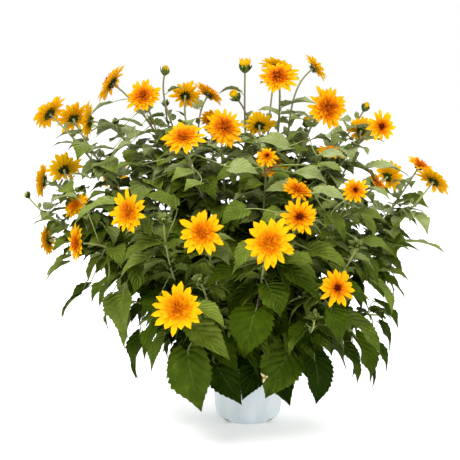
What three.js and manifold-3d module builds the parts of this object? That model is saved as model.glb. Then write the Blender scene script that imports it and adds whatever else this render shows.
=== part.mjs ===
// A bushy potted sunflower: a pale plastic nursery pot, its soil, fifteen branching leafy stems that
// stand in holes in the soil, and the semi-double blooms that sit on the stems' green bract cups.
// Millimetres, +Z up. The origin is the middle of the pot's underside, and the side that is looked
// at from the front faces -Y.
import * as THREE from "three";
import Module from "manifold-3d";

const wasm = await Module();
wasm.setup();

// Driving dimensions
const POT_HEIGHT = 128;
const POT_RIM_RADIUS = 78;
const POT_MOUTH_RADIUS = 74.5;
const POT_BODY_RADIUS = 66;
const POT_FOOT_RADIUS = 54;
const POT_CORNER_HEIGHT = 14;
const POT_RIM_BAND = 14;
const POT_WALL = 1.8;
const POT_FLOOR = 2.4;
const POT_SIDES = 24;
const NOTCH_COUNT = 4;
const NOTCH_WIDTH = 15;
const NOTCH_HEIGHT = 5;
const SOIL_LEVEL = 112;
const SOIL_GAP = 0.4;
const STEM_DEPTH = 30;
const OUTER_ROW = 47;
const INNER_ROW = 20;
const STEM_RADIUS = 4;
const SHOOT_RADIUS = 2.3;
const NECK_RADIUS = 1.7;
const HOLE_RADIUS = 7.4;
const BLADE_THICKNESS = 1.8;
const PETIOLE_RADIUS = 1.35;
const STALK_STEP = 70;
const LARGE_LEAF = 62;
const LONG_LEAF = 70;
const TOOTH = 1.16;
const EDGE_WAVE = 0.16;
const SAMPLE_STEP = 9;
const LEAF_GAP = 10;
const STEM_GAP = 9.5;
const WIDEST_GAP = 21;
const PETIOLE_ROOM = 22;
const BLADE_ROOM = 5;
const STEEPEST = 0.76;
const SHORTEST_PETIOLE = 16;
const LEAST_LOOK = 0.4;
const FARTHEST_BACK = -0.4;
const FARTHEST_ASIDE = 0.85;

// Rings round the pot that leaves keep away from: a radius and a height each.
const POT_GUARD = [
  [POT_BODY_RADIUS, 20],
  [POT_BODY_RADIUS + 2, 36],
  [POT_BODY_RADIUS + 3, 52],
  [POT_BODY_RADIUS + 5, 68],
  [POT_BODY_RADIUS + 7, 84],
  [POT_BODY_RADIUS + 8, 100],
  [POT_RIM_RADIUS, 114],
  [POT_RIM_RADIUS, POT_HEIGHT],
];

const UP = new THREE.Vector3(0, 0, 1);
const degrees = THREE.MathUtils.degToRad;
const point = (x, y, z) => new THREE.Vector3(x, y, z);
const mix = (a, b, t) => a + (b - a) * t;

// The same draw of numbers between 0 and 1 each time.
function drawFrom(seed) {
  let state = seed;
  return () => {
    state = (state * 16807) % 2147483647;
    return state / 2147483647;
  };
}

// Yaw 0 looks to the front (-Y) and 90 to the right (+X). Pitch is above the horizon.
function facing(yaw, pitch) {
  const y = degrees(yaw);
  const p = degrees(pitch);
  return point(Math.sin(y) * Math.cos(p), -Math.cos(y) * Math.cos(p), Math.sin(p));
}

// The leafy stems: where each stands (angle round the pot, row) and how steeply it rises. The first
// bloom ends the main stem. The other blooms, buds and young shoots end side shoots that leave it
// at the share `from` of its length. `bend` is how much of a stalk lies along its bloom's axis.
const STEMS = [
  {
    name: "far_left_top",
    angle: 165,
    row: OUTER_ROW,
    rise: 62,
    blooms: [
      { name: "01", at: [-400, 30, 620], width: 84, yaw: -120, pitch: 35 },
      { name: "02", at: [-362, 110, 604], width: 74, yaw: -155, pitch: 30, from: 0.5 },
      { name: "03", at: [-318, 0, 605], width: 76, yaw: -98, pitch: 5, from: 0.4 },
    ],
    shoots: [],
  },
  {
    name: "left_top",
    angle: 180,
    row: INNER_ROW,
    rise: 76,
    blooms: [
      { name: "04", at: [-274, 20, 680], width: 86, yaw: -105, pitch: 32 },
      { name: "05", at: [-205, -30, 655], width: 70, yaw: -12, pitch: 35, from: 0.5 },
    ],
    shoots: [
      { at: [-265, 30, 600], width: 13, yaw: -60, pitch: 70, from: 0.55 },
      { at: [-163, -10, 700], width: 15, yaw: 40, pitch: 70, from: 0.5 },
    ],
  },
  {
    name: "middle_left_top",
    angle: 130,
    row: INNER_ROW,
    rise: 84,
    blooms: [
      { name: "06", at: [-126, 60, 654], width: 64, yaw: 175, pitch: 30 },
      { name: "07", at: [-78, 95, 655], width: 70, yaw: 125, pitch: 50, from: 0.5 },
      { name: "10", at: [-70, 40, 606], width: 62, yaw: 170, pitch: 48, from: 0.35 },
    ],
    shoots: [{ at: [-166, 45, 636], width: 13, yaw: 0, pitch: 75, from: 0.6 }],
  },
  {
    name: "middle_top",
    angle: 240,
    row: INNER_ROW,
    rise: 84,
    blooms: [
      { name: "09", at: [-48, -110, 602], width: 78, yaw: 12, pitch: 30, bend: 0.2 },
      { name: "08", at: [-122, -150, 588], width: 80, yaw: -8, pitch: 52, from: 0.45 },
      { name: "36", at: [20, -25, 601], width: 60, yaw: 180, pitch: 25, from: 0.35 },
    ],
    shoots: [],
  },
  {
    name: "left",
    angle: 195,
    row: OUTER_ROW,
    rise: 54,
    blooms: [
      { name: "11", at: [-372, 40, 507], width: 72, yaw: -165, pitch: 30 },
      { name: "12", at: [-406, -30, 490], width: 76, yaw: -95, pitch: 5, from: 0.6 },
      { name: "13", at: [-334, -75, 450], width: 60, yaw: -40, pitch: 40, from: 0.45 },
    ],
    shoots: [],
  },
  {
    name: "low_left",
    angle: 222,
    row: OUTER_ROW,
    rise: 47,
    blooms: [
      { name: "17", at: [-325, -130, 385], width: 72, yaw: -62, pitch: 5 },
      { name: "16", at: [-399, -40, 372], width: 64, yaw: -105, pitch: -12, from: 0.5 },
      { name: "14", at: [-217, -230, 460], width: 80, yaw: -38, pitch: 12, from: 0.35, bend: 0.25 },
    ],
    shoots: [
      { at: [-438, -20, 460], width: 13, yaw: -90, pitch: 50, from: 0.62 },
      { at: [-240, -90, 265], width: 10, yaw: -70, pitch: 10, from: 0.2 },
      { at: [-155, -235, 445], width: 12, yaw: -10, pitch: 75, from: 0.35 },
    ],
  },
  {
    name: "front_left",
    angle: 252,
    row: OUTER_ROW,
    rise: 52,
    blooms: [
      { name: "45", at: [-126, -330, 310], width: 88, yaw: -3, pitch: 14, bend: 0.22 },
      { name: "15", at: [-85, -300, 435], width: 80, yaw: 0, pitch: 15, from: 0.35, bend: 0.2 },
    ],
    shoots: [
      { at: [-180, -175, 245], width: 10, yaw: -50, pitch: 10, from: 0.3 },
      { at: [-90, -270, 345], width: 12, yaw: -20, pitch: 50, from: 0.5 },
    ],
  },
  {
    name: "right_top",
    angle: 60,
    row: INNER_ROW,
    rise: 82,
    blooms: [
      { name: "21", at: [54, -60, 694], width: 76, yaw: -12, pitch: 38, bend: 0.2 },
      { name: "20", at: [54, 45, 714], width: 62, yaw: 165, pitch: 60, from: 0.5 },
      { name: "22", at: [133, 30, 709], width: 66, yaw: 105, pitch: 32, from: 0.55 },
    ],
    shoots: [
      { at: [-8, 0, 705], width: 22, yaw: 0, pitch: 80, from: 0.45 },
      { at: [-24, -8, 650], width: 19, yaw: -60, pitch: 50, from: 0.3 },
    ],
  },
  {
    name: "far_right_top",
    angle: 350,
    row: INNER_ROW,
    rise: 80,
    blooms: [
      { name: "23", at: [145, -110, 637], width: 84, yaw: 25, pitch: 12, bend: 0.2 },
      { name: "25", at: [222, 10, 586], width: 60, yaw: 172, pitch: 15, from: 0.45 },
      { name: "26", at: [252, -60, 598], width: 60, yaw: 12, pitch: 8, from: 0.5, bend: 0.2 },
      { name: "27", at: [157, -60, 552], width: 58, yaw: 15, pitch: 68, from: 0.4 },
    ],
    shoots: [
      { at: [190, -40, 520], width: 13, yaw: 40, pitch: 60, from: 0.35 },
      { at: [230, 20, 628], width: 15, yaw: 60, pitch: 60, from: 0.55 },
      { at: [112, -20, 600], width: 17, yaw: 0, pitch: 80, from: 0.62 },
    ],
  },
  {
    name: "right",
    angle: 350,
    row: OUTER_ROW,
    rise: 52,
    blooms: [
      { name: "29", at: [372, 10, 488], width: 80, yaw: 125, pitch: 42 },
      { name: "28", at: [350, 60, 512], width: 66, yaw: 60, pitch: 60, from: 0.5 },
      { name: "41", at: [298, 70, 398], width: 54, yaw: 95, pitch: 10, from: 0.4 },
    ],
    shoots: [
      { at: [280, -60, 320], width: 10, yaw: 70, pitch: 20, from: 0.4 },
      { at: [255, -110, 240], width: 10, yaw: 60, pitch: 5, from: 0.25 },
    ],
  },
  {
    name: "middle",
    angle: 290,
    row: INNER_ROW,
    rise: 84,
    blooms: [
      { name: "31", at: [40, -85, 521], width: 68, yaw: 5, pitch: 62 },
      { name: "30", at: [30, -180, 555], width: 42, yaw: 0, pitch: 40, from: 0.55 },
      { name: "32", at: [84, -200, 495], width: 62, yaw: 35, pitch: 55, from: 0.4 },
    ],
    shoots: [],
  },
  {
    name: "front",
    angle: 283,
    row: OUTER_ROW,
    rise: 60,
    blooms: [
      { name: "42", at: [29, -330, 423], width: 90, yaw: 4, pitch: 20, bend: 0.2 },
      { name: "34", at: [84, -270, 458], width: 66, yaw: 0, pitch: 20, from: 0.5, bend: 0.2 },
    ],
    shoots: [{ at: [-35, -245, 255], width: 12, yaw: 0, pitch: 40, from: 0.35 }],
  },
  {
    name: "front_right",
    angle: 315,
    row: OUTER_ROW,
    rise: 50,
    blooms: [
      { name: "43", at: [149, -300, 338], width: 64, yaw: 5, pitch: 10, bend: 0.2 },
      { name: "33", at: [187, -210, 497], width: 48, yaw: 5, pitch: 10, from: 0.35, bend: 0.15 },
      { name: "35", at: [246, -60, 490], width: 58, yaw: 70, pitch: 35, from: 0.3 },
    ],
    shoots: [
      { at: [185, -190, 245], width: 10, yaw: 40, pitch: 5, from: 0.25 },
      { at: [112, -275, 280], width: 12, yaw: 0, pitch: 70, from: 0.4 },
      { at: [190, -225, 400], width: 12, yaw: 20, pitch: 60, from: 0.5 },
    ],
  },
  {
    name: "back_left",
    angle: 120,
    row: OUTER_ROW,
    rise: 58,
    blooms: [
      { name: "51", at: [-290, 235, 470], width: 76, yaw: -140, pitch: 20 },
      { name: "52", at: [-130, 330, 420], width: 82, yaw: 175, pitch: 15, from: 0.4 },
      { name: "53", at: [20, 350, 350], width: 84, yaw: 180, pitch: 8, from: 0.3 },
    ],
    shoots: [],
  },
  {
    name: "back_right",
    angle: 45,
    row: OUTER_ROW,
    rise: 58,
    blooms: [
      { name: "54", at: [160, 330, 440], width: 82, yaw: 165, pitch: 15 },
      { name: "55", at: [310, 210, 470], width: 76, yaw: 135, pitch: 20, from: 0.45 },
      { name: "56", at: [60, 280, 510], width: 70, yaw: 178, pitch: 35, from: 0.5 },
    ],
    shoots: [],
  },
];

// The leaves that give the plant its outline and its front, by where the blade starts and ends.
// Each grows from the stalk that is best placed for it.
const LEADING_LEAVES = [
  { base: [-115, -200, 195], tip: [-90, -225, 85], width: 86 },
  { base: [-70, -110, 150], tip: [-15, -135, 65], width: 66 },
  { base: [120, -180, 175], tip: [125, -200, 90], width: 66 },
  { base: [75, -150, 185], tip: [30, -165, 90], width: 82 },
  { base: [10, -240, 285], tip: [-15, -265, 200], width: 80 },
  { base: [80, -115, 185], tip: [85, -130, 100], width: 66 },
  { base: [20, -120, 150], tip: [-15, -145, 85], width: 54 },
  { base: [200, -150, 210], tip: [230, -165, 120], width: 64 },
  { base: [-240, -130, 285], tip: [-230, -150, 205], width: 70 },
  { base: [110, -220, 250], tip: [25, -240, 220], width: 56 },
  { base: [180, -200, 260], tip: [240, -220, 190], width: 50 },
  { base: [60, -240, 365], tip: [125, -270, 300], width: 48 },
  { base: [-105, -200, 260], tip: [-35, -240, 205], width: 54 },
  { base: [30, -230, 330], tip: [55, -250, 275], width: 58 },
  { base: [145, -220, 285], tip: [160, -240, 220], width: 52 },
  { base: [-65, -150, 200], tip: [-20, -170, 145], width: 46 },
  { base: [-85, -190, 320], tip: [-60, -230, 260], width: 42 },
  { base: [-170, -200, 250], tip: [-195, -215, 180], width: 34 },
  { base: [-210, -120, 205], tip: [-215, -130, 115], width: 42 },
  { base: [-160, -150, 215], tip: [-185, -160, 140], width: 36 },
  { base: [-150, -60, 185], tip: [-160, -60, 135], width: 28 },
  { base: [-270, -60, 265], tip: [-275, -60, 190], width: 40 },
  { base: [-265, -150, 320], tip: [-295, -180, 280], width: 34 },
  { base: [-315, -60, 285], tip: [-370, -60, 220], width: 40 },
  { base: [-285, -100, 350], tip: [-305, -130, 310], width: 38 },
  { base: [-350, -60, 345], tip: [-395, -80, 305], width: 34 },
  { base: [-355, -40, 435], tip: [-405, -60, 415], width: 26 },
  { base: [-255, -150, 465], tip: [-325, -170, 430], width: 46 },
  { base: [-165, -210, 405], tip: [-230, -240, 370], width: 42 },
  { base: [-180, -180, 375], tip: [-240, -200, 335], width: 38 },
  { base: [-170, -210, 295], tip: [-195, -240, 270], width: 34 },
  { base: [-10, -260, 470], tip: [-55, -280, 445], width: 42 },
  { base: [-5, -280, 410], tip: [-25, -300, 370], width: 32 },
  { base: [-25, -240, 365], tip: [-85, -270, 335], width: 30 },
  { base: [105, -220, 390], tip: [175, -250, 360], width: 46 },
  { base: [75, -280, 390], tip: [110, -300, 380], width: 26 },
  { base: [180, -120, 210], tip: [180, -120, 155], width: 34 },
  { base: [200, -100, 165], tip: [200, -100, 110], width: 28 },
  { base: [245, -120, 185], tip: [265, -130, 125], width: 30 },
  { base: [250, -100, 225], tip: [270, -110, 170], width: 34 },
  { base: [240, -120, 270], tip: [285, -150, 220], width: 38 },
  { base: [255, -100, 325], tip: [305, -130, 310], width: 34 },
  { base: [270, -60, 300], tip: [285, -60, 260], width: 24 },
  { base: [315, -40, 370], tip: [390, -60, 345], width: 36 },
  { base: [280, -80, 370], tip: [330, -100, 360], width: 28 },
  { base: [205, -170, 395], tip: [265, -190, 375], width: 36 },
  { base: [190, -150, 370], tip: [240, -170, 310], width: 56 },
  { base: [190, -160, 445], tip: [250, -180, 435], width: 38 },
  { base: [300, 0, 440], tip: [335, 0, 440], width: 20 },
  { base: [300, -20, 430], tip: [345, -40, 430], width: 24 },
  { base: [145, -200, 450], tip: [170, -220, 400], width: 30 },
  { base: [-135, -190, 465], tip: [-195, -200, 485], width: 38 },
  { base: [-330, -60, 470], tip: [-375, -70, 460], width: 30 },
  { base: [-310, -60, 500], tip: [-350, -70, 505], width: 26 },
  { base: [-265, -60, 555], tip: [-310, -80, 550], width: 30 },
  { base: [-340, 0, 560], tip: [-390, -10, 555], width: 24 },
  { base: [-260, 0, 595], tip: [-310, -20, 585], width: 30 },
  { base: [-210, -60, 600], tip: [-260, -80, 610], width: 34 },
  { base: [-180, -40, 585], tip: [-215, -60, 580], width: 26 },
  { base: [-210, -110, 530], tip: [-255, -140, 520], width: 36 },
  { base: [-260, -80, 500], tip: [-290, -100, 505], width: 26 },
  { base: [-105, -170, 525], tip: [-145, -200, 510], width: 34 },
  { base: [-90, -200, 510], tip: [-120, -230, 500], width: 30 },
  { base: [-15, -160, 525], tip: [-65, -190, 510], width: 42 },
  { base: [-35, -180, 535], tip: [15, -200, 525], width: 38 },
  { base: [70, -100, 565], tip: [5, -110, 575], width: 40 },
  { base: [65, -20, 620], tip: [125, -30, 610], width: 32 },
  { base: [55, -20, 620], tip: [15, -30, 630], width: 28 },
  { base: [85, -150, 520], tip: [140, -180, 505], width: 42 },
  { base: [130, -90, 545], tip: [190, -110, 540], width: 40 },
  { base: [125, -120, 535], tip: [170, -140, 525], width: 34 },
  { base: [225, -60, 520], tip: [310, -70, 505], width: 42 },
  { base: [220, -110, 485], tip: [265, -130, 465], width: 34 },
  { base: [90, -160, 490], tip: [25, -180, 490], width: 40 },
  { base: [115, -190, 495], tip: [170, -210, 480], width: 36 },
  { base: [65, -100, 515], tip: [40, -130, 495], width: 28 },
  { base: [-375, -40, 420], tip: [-420, -50, 410], width: 24 },
];

// Solids

// A closed body that is put together from rings of corners. A ring runs counterclockwise when it
// is seen from the side that the body grows to.
class Body {
  constructor() {
    this.corners = [];
    this.triangles = [];
  }

  ring(points) {
    this.corners.push(...points);
    return points.map((_, i) => this.corners.length - points.length + i);
  }

  // The skin between a ring and the next, either of which may be a single point.
  bridge(lower, upper) {
    const n = lower.length;
    const m = upper.length;
    const lowerEdges = n > 1 ? n : 0;
    const upperEdges = m > 1 ? m : 0;
    let i = 0;
    let j = 0;
    while (i < lowerEdges || j < upperEdges) {
      const a = lower[i % n];
      const b = upper[j % m];
      if (j >= upperEdges || (i < lowerEdges && (i + 1) / n <= (j + 1) / m)) {
        this.triangles.push(a, lower[(i + 1) % n], b);
        i += 1;
      } else {
        this.triangles.push(a, upper[(j + 1) % m], b);
        j += 1;
      }
    }
    return upper;
  }

  // The skin between two rings of the same count, with each of its four-sided faces split so that
  // it bulges out.
  bulge(lower, upper) {
    lower.forEach((a, i) => {
      const next = (i + 1) % lower.length;
      const [b, c, d] = [lower[next], upper[next], upper[i]];
      const [pa, pb, pc, pd] = [a, b, c, d].map((corner) => this.corners[corner]);
      const out = pb.clone().sub(pd).cross(pc.clone().sub(pa));
      const outer = pb.clone().add(pd).sub(pa).sub(pc).dot(out);
      if (outer > 0) this.triangles.push(a, b, d, b, c, d);
      else this.triangles.push(a, b, c, a, c, d);
    });
    return upper;
  }

  // The flat end that a body starts with.
  floor(ring) {
    for (let i = 1; i < ring.length - 1; i += 1)
      this.triangles.push(ring[0], ring[i + 1], ring[i]);
    return ring;
  }

  solid() {
    return solidOf(this.corners, this.triangles);
  }
}

// A solid from its corners and triangles, turned so that its faces point out.
function solidOf(corners, triangles) {
  let volume = 0;
  for (let k = 0; k < triangles.length; k += 3) {
    const [a, b, c] = [0, 1, 2].map((o) => corners[triangles[k + o]]);
    volume += a.dot(b.clone().cross(c));
  }
  const turned = [...triangles];
  if (volume < 0)
    for (let k = 0; k < turned.length; k += 3)
      [turned[k + 1], turned[k + 2]] = [turned[k + 2], turned[k + 1]];
  return new wasm.Manifold(
    new wasm.Mesh({
      numProp: 3,
      vertProperties: new Float32Array(corners.flatMap((p) => [p.x, p.y, p.z])),
      triVerts: new Uint32Array(turned),
    }),
  );
}

// A three.js geometry that is one closed body, as a solid.
function fromGeometry(geometry) {
  const keys = new Map();
  const corners = [];
  const position = geometry.getAttribute("position");
  const order = geometry.index ? [...geometry.index.array] : [...Array(position.count).keys()];
  const merged = order.map((index) => {
    const p = new THREE.Vector3().fromBufferAttribute(position, index);
    const key = [p.x, p.y, p.z].map((value) => Math.round(value * 1000)).join();
    if (!keys.has(key)) {
      keys.set(key, corners.length);
      corners.push(p);
    }
    return keys.get(key);
  });
  const triangles = [];
  for (let k = 0; k < merged.length; k += 3) {
    const [a, b, c] = merged.slice(k, k + 3);
    if (a !== b && b !== c && a !== c) triangles.push(a, b, c);
  }
  return solidOf(corners, triangles);
}

function meshOf(solid, name, material) {
  const made = solid.getMesh();
  const geometry = new THREE.BufferGeometry();
  geometry.setAttribute("position", new THREE.BufferAttribute(made.vertProperties, 3));
  geometry.setIndex(new THREE.BufferAttribute(made.triVerts, 1));
  geometry.computeVertexNormals();
  const mesh = new THREE.Mesh(geometry, material);
  mesh.name = name;
  return mesh;
}

// Stalks

// A stalk's line from its start to the neck of its bloom, which it enters along the bloom's axis.
function stalkCurve(start, direction, bloom) {
  const end = neckOf(bloom);
  const reach = start.distanceTo(end);
  const bend = Math.min(150, reach * (bloom.bend ?? 0.36));
  return new THREE.CubicBezierCurve3(
    start,
    start.clone().addScaledVector(direction, reach * 0.34),
    end.clone().addScaledVector(facing(bloom.yaw, bloom.pitch), -bend),
    end,
  );
}

const neckOf = (bloom) =>
  point(...bloom.at).addScaledVector(facing(bloom.yaw, bloom.pitch), -6);

function circle(centre, across, along, radius, sides) {
  const other = along.clone().cross(across);
  return Array.from({ length: sides }, (_, i) => {
    const a = (2 * Math.PI * i) / sides;
    return centre
      .clone()
      .addScaledVector(across, radius * Math.cos(a))
      .addScaledVector(other, radius * Math.sin(a));
  });
}

// The joints of a stalk's solid, at even steps of its curve. The last is just behind the bract cup.
function jointsOf(curve) {
  const steps = Math.max(3, Math.round(curve.getLength() / STALK_STEP));
  const joints = Array.from({ length: steps }, (_, k) => curve.getPoint(k / steps));
  return [...joints, curve.getPoint(1).addScaledVector(curve.getTangent(1), -5)];
}

// The place on the straight pieces between the joints that goes with the share t of the curve.
function onJoints(joints, t) {
  const steps = joints.length - 1;
  const k = Math.min(steps - 1, Math.floor(t * steps));
  return joints[k].clone().lerp(joints[k + 1], t * steps - k);
}

// The way that the straight piece at the share t of a stalk runs.
function runAt(joints, t) {
  const k = Math.min(joints.length - 2, Math.floor(t * (joints.length - 1)));
  return joints[k + 1].clone().sub(joints[k]).normalize();
}

// Rings of a stalk round its joints, kept from twisting, from the direction of its first corner.
function stalkRings({ curve, joints, radius, sides }, start) {
  const steps = joints.length - 1;
  let across = start;
  let along = null;
  const rings = joints.map((joint, k) => {
    along = curve.getTangent(k / steps);
    across = across.clone().addScaledVector(along, -across.dot(along)).normalize();
    return circle(joint, across, along, mix(radius, NECK_RADIUS, k / steps), sides);
  });
  return { rings, across, along };
}

const BRACTS = 5;

// The green cup behind a bloom: a star of bracts that closes the stalk.
function bractRings(bloom, across, along) {
  const radius = bloom.width / 2;
  const other = along.clone().cross(across);
  const neck = neckOf(bloom);
  const star = Array.from({ length: 2 * BRACTS }, (_, i) => {
    const a = (Math.PI * i) / BRACTS;
    const out = radius * (i % 2 === 0 ? 0.34 : 0.2);
    return neck
      .clone()
      .addScaledVector(across, out * Math.cos(a))
      .addScaledVector(other, out * Math.sin(a))
      .addScaledVector(along, i % 2 === 0 ? -0.2 : -1.2);
  });
  return [star, [neck.clone().addScaledVector(along, 0.3)]];
}

// A closed bud or the folded tip of a young shoot: an egg on the end of its stalk.
function budRings(bud, across, along) {
  const radius = bud.width / 2;
  const neck = neckOf(bud);
  const ring = (share, height) =>
    circle(neck.clone().addScaledVector(along, radius * height), across, along, radius * share, 4);
  return [ring(0.9, 0.35), ring(0.8, 1.2), [neck.clone().addScaledVector(along, radius * 2)]];
}

// Blooms

const SMALL_BLOOM = 66;
const PETAL_ROOT = 0.52;
const PETAL_SHOULDER = 0.8;
const NECK_SHARE = 0.24;

// A frame round a bloom's axis: a place by its distance from the axis, angle and height.
function bloomFrame(bloom) {
  const axis = facing(bloom.yaw, bloom.pitch);
  const side = axis.clone().cross(UP).normalize();
  const rise = side.clone().cross(axis);
  const neck = neckOf(bloom);
  return (radius, angle, height) =>
    neck
      .clone()
      .addScaledVector(side, radius * Math.cos(angle))
      .addScaledVector(rise, radius * Math.sin(angle))
      .addScaledVector(axis, height);
}

// Two layers of pointed petals on one domed disc. The layers share a neck.
function bloomSolid(bloom, draw) {
  const place = bloomFrame(bloom);
  const radius = bloom.width / 2;
  const cup = mix(-0.1, 0.16, draw());
  const cone = (share) => mix(1.4, 3.2 + radius * cup, share);
  const outer = [];
  const [outerPetals, innerPetals] = bloom.width > SMALL_BLOOM ? [12, 8] : [9, 6];
  const pitch = (2 * Math.PI) / outerPetals;
  for (let i = 0; i < outerPetals; i += 1) {
    const reach = radius * mix(0.9, 1, draw());
    const lift = radius * mix(-0.05, 0.05, draw());
    const a = pitch * i;
    outer.push(place(radius * PETAL_ROOT, a - pitch / 2, cone(PETAL_ROOT) + 0.4));
    [-1, 0, 1].forEach((across) => {
      const share = across ? PETAL_SHOULDER : 1;
      const height = cone(share) + lift * share * share;
      outer.push(place(reach * share, a + pitch * 0.32 * across, height));
    });
  }
  const neck = Array.from({ length: outerPetals }, (_, i) =>
    place(radius * NECK_SHARE, pitch * (i - 0.5), cone(NECK_SHARE) + 4),
  );
  const inner = Array.from({ length: 2 * innerPetals }, (_, i) => {
    const tip = i % 2 === 1;
    const share = tip ? mix(0.6, 0.7, draw()) : 0.4;
    return place(radius * share, (Math.PI * i) / innerPetals - pitch / 2, cone(share) + 6);
  });
  const body = new Body();
  [[place(0, 0, cone(0))], outer, neck, inner, [place(0, 0, radius * 0.16 + 7)]]
    .map((ring) => body.ring(ring))
    .reduce((lower, upper) => body.bridge(lower, upper));
  return body.solid();
}

// Leaves

// A leaf whose blade runs from `base` along `ahead` under an arch, with `face` its upper side.
function makeLeaf({ face, chord, ...rest }) {
  const { ahead, arch, leading } = rest;
  const upper = face.clone().addScaledVector(ahead, -face.dot(ahead)).normalize();
  const bow = chord / (2 * Math.sin(arch / 2));
  const side = upper.clone().cross(ahead);
  const length = bow * arch;
  const large = length > (leading ? LARGE_LEAF : 1.4 * LARGE_LEAF);
  return { ...rest, upper, side, length, bow, large, wave: large ? EDGE_WAVE : 0 };
}

// How wide the blade is at the share u of its length, from 0 to 1 at the widest.
const bladeShare = (u) => 2.755 * Math.sqrt(u) * (1 - u) ** 1.15;

// The way up from the middle of the blade at the share u of its length.
function bladeUp(leaf, u) {
  const turn = leaf.arch / 2 - leaf.arch * u;
  const up = leaf.upper.clone().multiplyScalar(Math.cos(turn));
  return up.addScaledVector(leaf.ahead, -Math.sin(turn));
}

// A point of the blade: u along it, v across it from -1 to 1.
function bladePoint(leaf, u, v) {
  const turn = leaf.arch / 2 - leaf.arch * u;
  const forward = leaf.bow * (Math.sin(leaf.arch / 2) - Math.sin(turn));
  const rise = leaf.bow * (Math.cos(turn) - Math.cos(leaf.arch / 2));
  const half = (leaf.width / 2) * bladeShare(u);
  const lobe = leaf.length * 0.14 * Math.abs(v) * Math.max(0, 1 - u / 0.3);
  const wave = leaf.wave * Math.sin(9 * u + 1.5 * v + leaf.phase);
  const raised = Math.abs(v) * half * (Math.sin(leaf.fold) + Math.abs(v) * wave);
  return leaf.base
    .clone()
    .addScaledVector(leaf.ahead, forward - lobe * Math.cos(turn) - raised * Math.sin(turn))
    .addScaledVector(leaf.upper, rise - lobe * Math.sin(turn) + raised * Math.cos(turn))
    .addScaledVector(leaf.side, v * half * Math.cos(leaf.fold));
}

// Points all over a blade, close enough together that nothing passes between them.
function bladeSamples(leaf) {
  const samples = [];
  const along = Math.max(2, Math.ceil(leaf.length / SAMPLE_STEP));
  for (let i = 0; i <= along; i += 1) {
    const u = i / along;
    const across = Math.ceil(((leaf.width / 2) * bladeShare(u)) / SAMPLE_STEP);
    for (let j = -across; j <= across; j += 1)
      samples.push(bladePoint(leaf, u, across ? j / across : 0));
  }
  return samples;
}

function petioleSamples(root, base) {
  const steps = Math.floor(root.distanceTo(base) / SAMPLE_STEP);
  return Array.from({ length: steps }, (_, i) => root.clone().lerp(base, (i + 1) / (steps + 1)));
}

// Opens a face of a stalk, given by its four corners, at a share of its length. What comes back is
// the triangle in it that a leaf or a side shoot grows from.
function openFace(body, [a, b, c, d], share, fill) {
  const at = (from, to) => body.corners[from].clone().lerp(body.corners[to], share);
  const left = at(a, d);
  const across = at(b, c).sub(left);
  const centre = left.addScaledVector(across, 0.5);
  const along = body.corners[d].clone().sub(body.corners[a]).normalize();
  const long = across.length() * fill * 0.5;
  const [p, q, r] = body.ring([
    centre.clone().addScaledVector(along, -long),
    centre.clone().addScaledVector(across, fill / 2).addScaledVector(along, long * 0.6),
    centre.clone().addScaledVector(across, -fill / 2).addScaledVector(along, long * 0.6),
  ]);
  [
    [a, b, p],
    [b, q, p],
    [b, c, q],
    [c, r, q],
    [c, d, r],
    [d, a, r],
    [a, p, r],
  ].forEach((triangle) => body.triangles.push(...triangle));
  return [p, q, r];
}

// The three corners of a foot, begun at the one that lies nearest to the direction given.
function begunAt(body, foot, direction) {
  const places = foot.map((corner) => body.corners[corner].dot(direction));
  const first = places.indexOf(Math.max(...places));
  return [0, 1, 2].map((i) => foot[(first + i) % 3]);
}

// A leaf on its foot: a three-sided stalk that widens into a thin blade with knife edges. The
// blade of a large leaf is folded along its middle.
function addLeaf(body, leaf, foot) {
  const start = body.corners[foot[0]].clone().lerp(body.corners[foot[1]], 0.5);
  const way = leaf.base.clone().sub(start).normalize();
  const side = leaf.side.clone().addScaledVector(way, -leaf.side.dot(way)).normalize();
  const rise = way.clone().cross(side);
  const { large } = leaf;
  const half = BLADE_THICKNESS / 2;
  const rootUp = bladeUp(leaf, 0).add(rise).normalize();
  const section = (u, k) => {
    const [right, left] = [bladePoint(leaf, u, 1), bladePoint(leaf, u, -1)];
    const middle = bladePoint(leaf, u, 0);
    const up = k === 0 ? rootUp : bladeUp(leaf, u);
    const over = middle.clone().addScaledVector(up, half);
    if (large) return [right, over, left, middle.addScaledVector(up, -half)];
    const ridge = right.clone().lerp(left, 0.5).addScaledVector(up, BLADE_THICKNESS);
    const drop = middle.sub(ridge).multiplyScalar(0.5);
    return [right.add(drop), ridge.add(drop), left.add(drop)];
  };
  const toothed = leaf.leading && leaf.length > LONG_LEAF;
  const shares = toothed ? [0.08, 0.3, 0.6] : [0.1, 0.46];
  const rightLow = side.clone().multiplyScalar(0.87).addScaledVector(rise, -0.5);
  let lower = begunAt(body, foot, rightLow);
  const corner = (a) =>
    leaf.base
      .clone()
      .addScaledVector(side, PETIOLE_RADIUS * Math.cos(degrees(a)))
      .addScaledVector(rise, PETIOLE_RADIUS * Math.sin(degrees(a)));
  lower = body.bulge(lower, body.ring([-30, 90, 210].map(corner)));
  const first = body.ring(section(shares[0], 0));
  lower = large ? body.bridge(lower, first) : body.bulge(lower, first);
  shares.slice(1).forEach((share, k) => {
    const upper = body.ring(section(share, k + 1));
    if (toothed) bridgeWithTeeth(body, leaf, lower, upper, mix(shares[k], share, 0.55));
    else if (large) bridgeHalves(body, lower, upper);
    else body.bulge(lower, upper);
    lower = upper;
  });
  const tip = body.ring([bladePoint(leaf, 1, 0)]);
  if (toothed) bridgeWithTeeth(body, leaf, lower, [tip[0], tip[0], tip[0], tip[0]], 0.8);
  else body.bridge(lower, tip);
}

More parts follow.
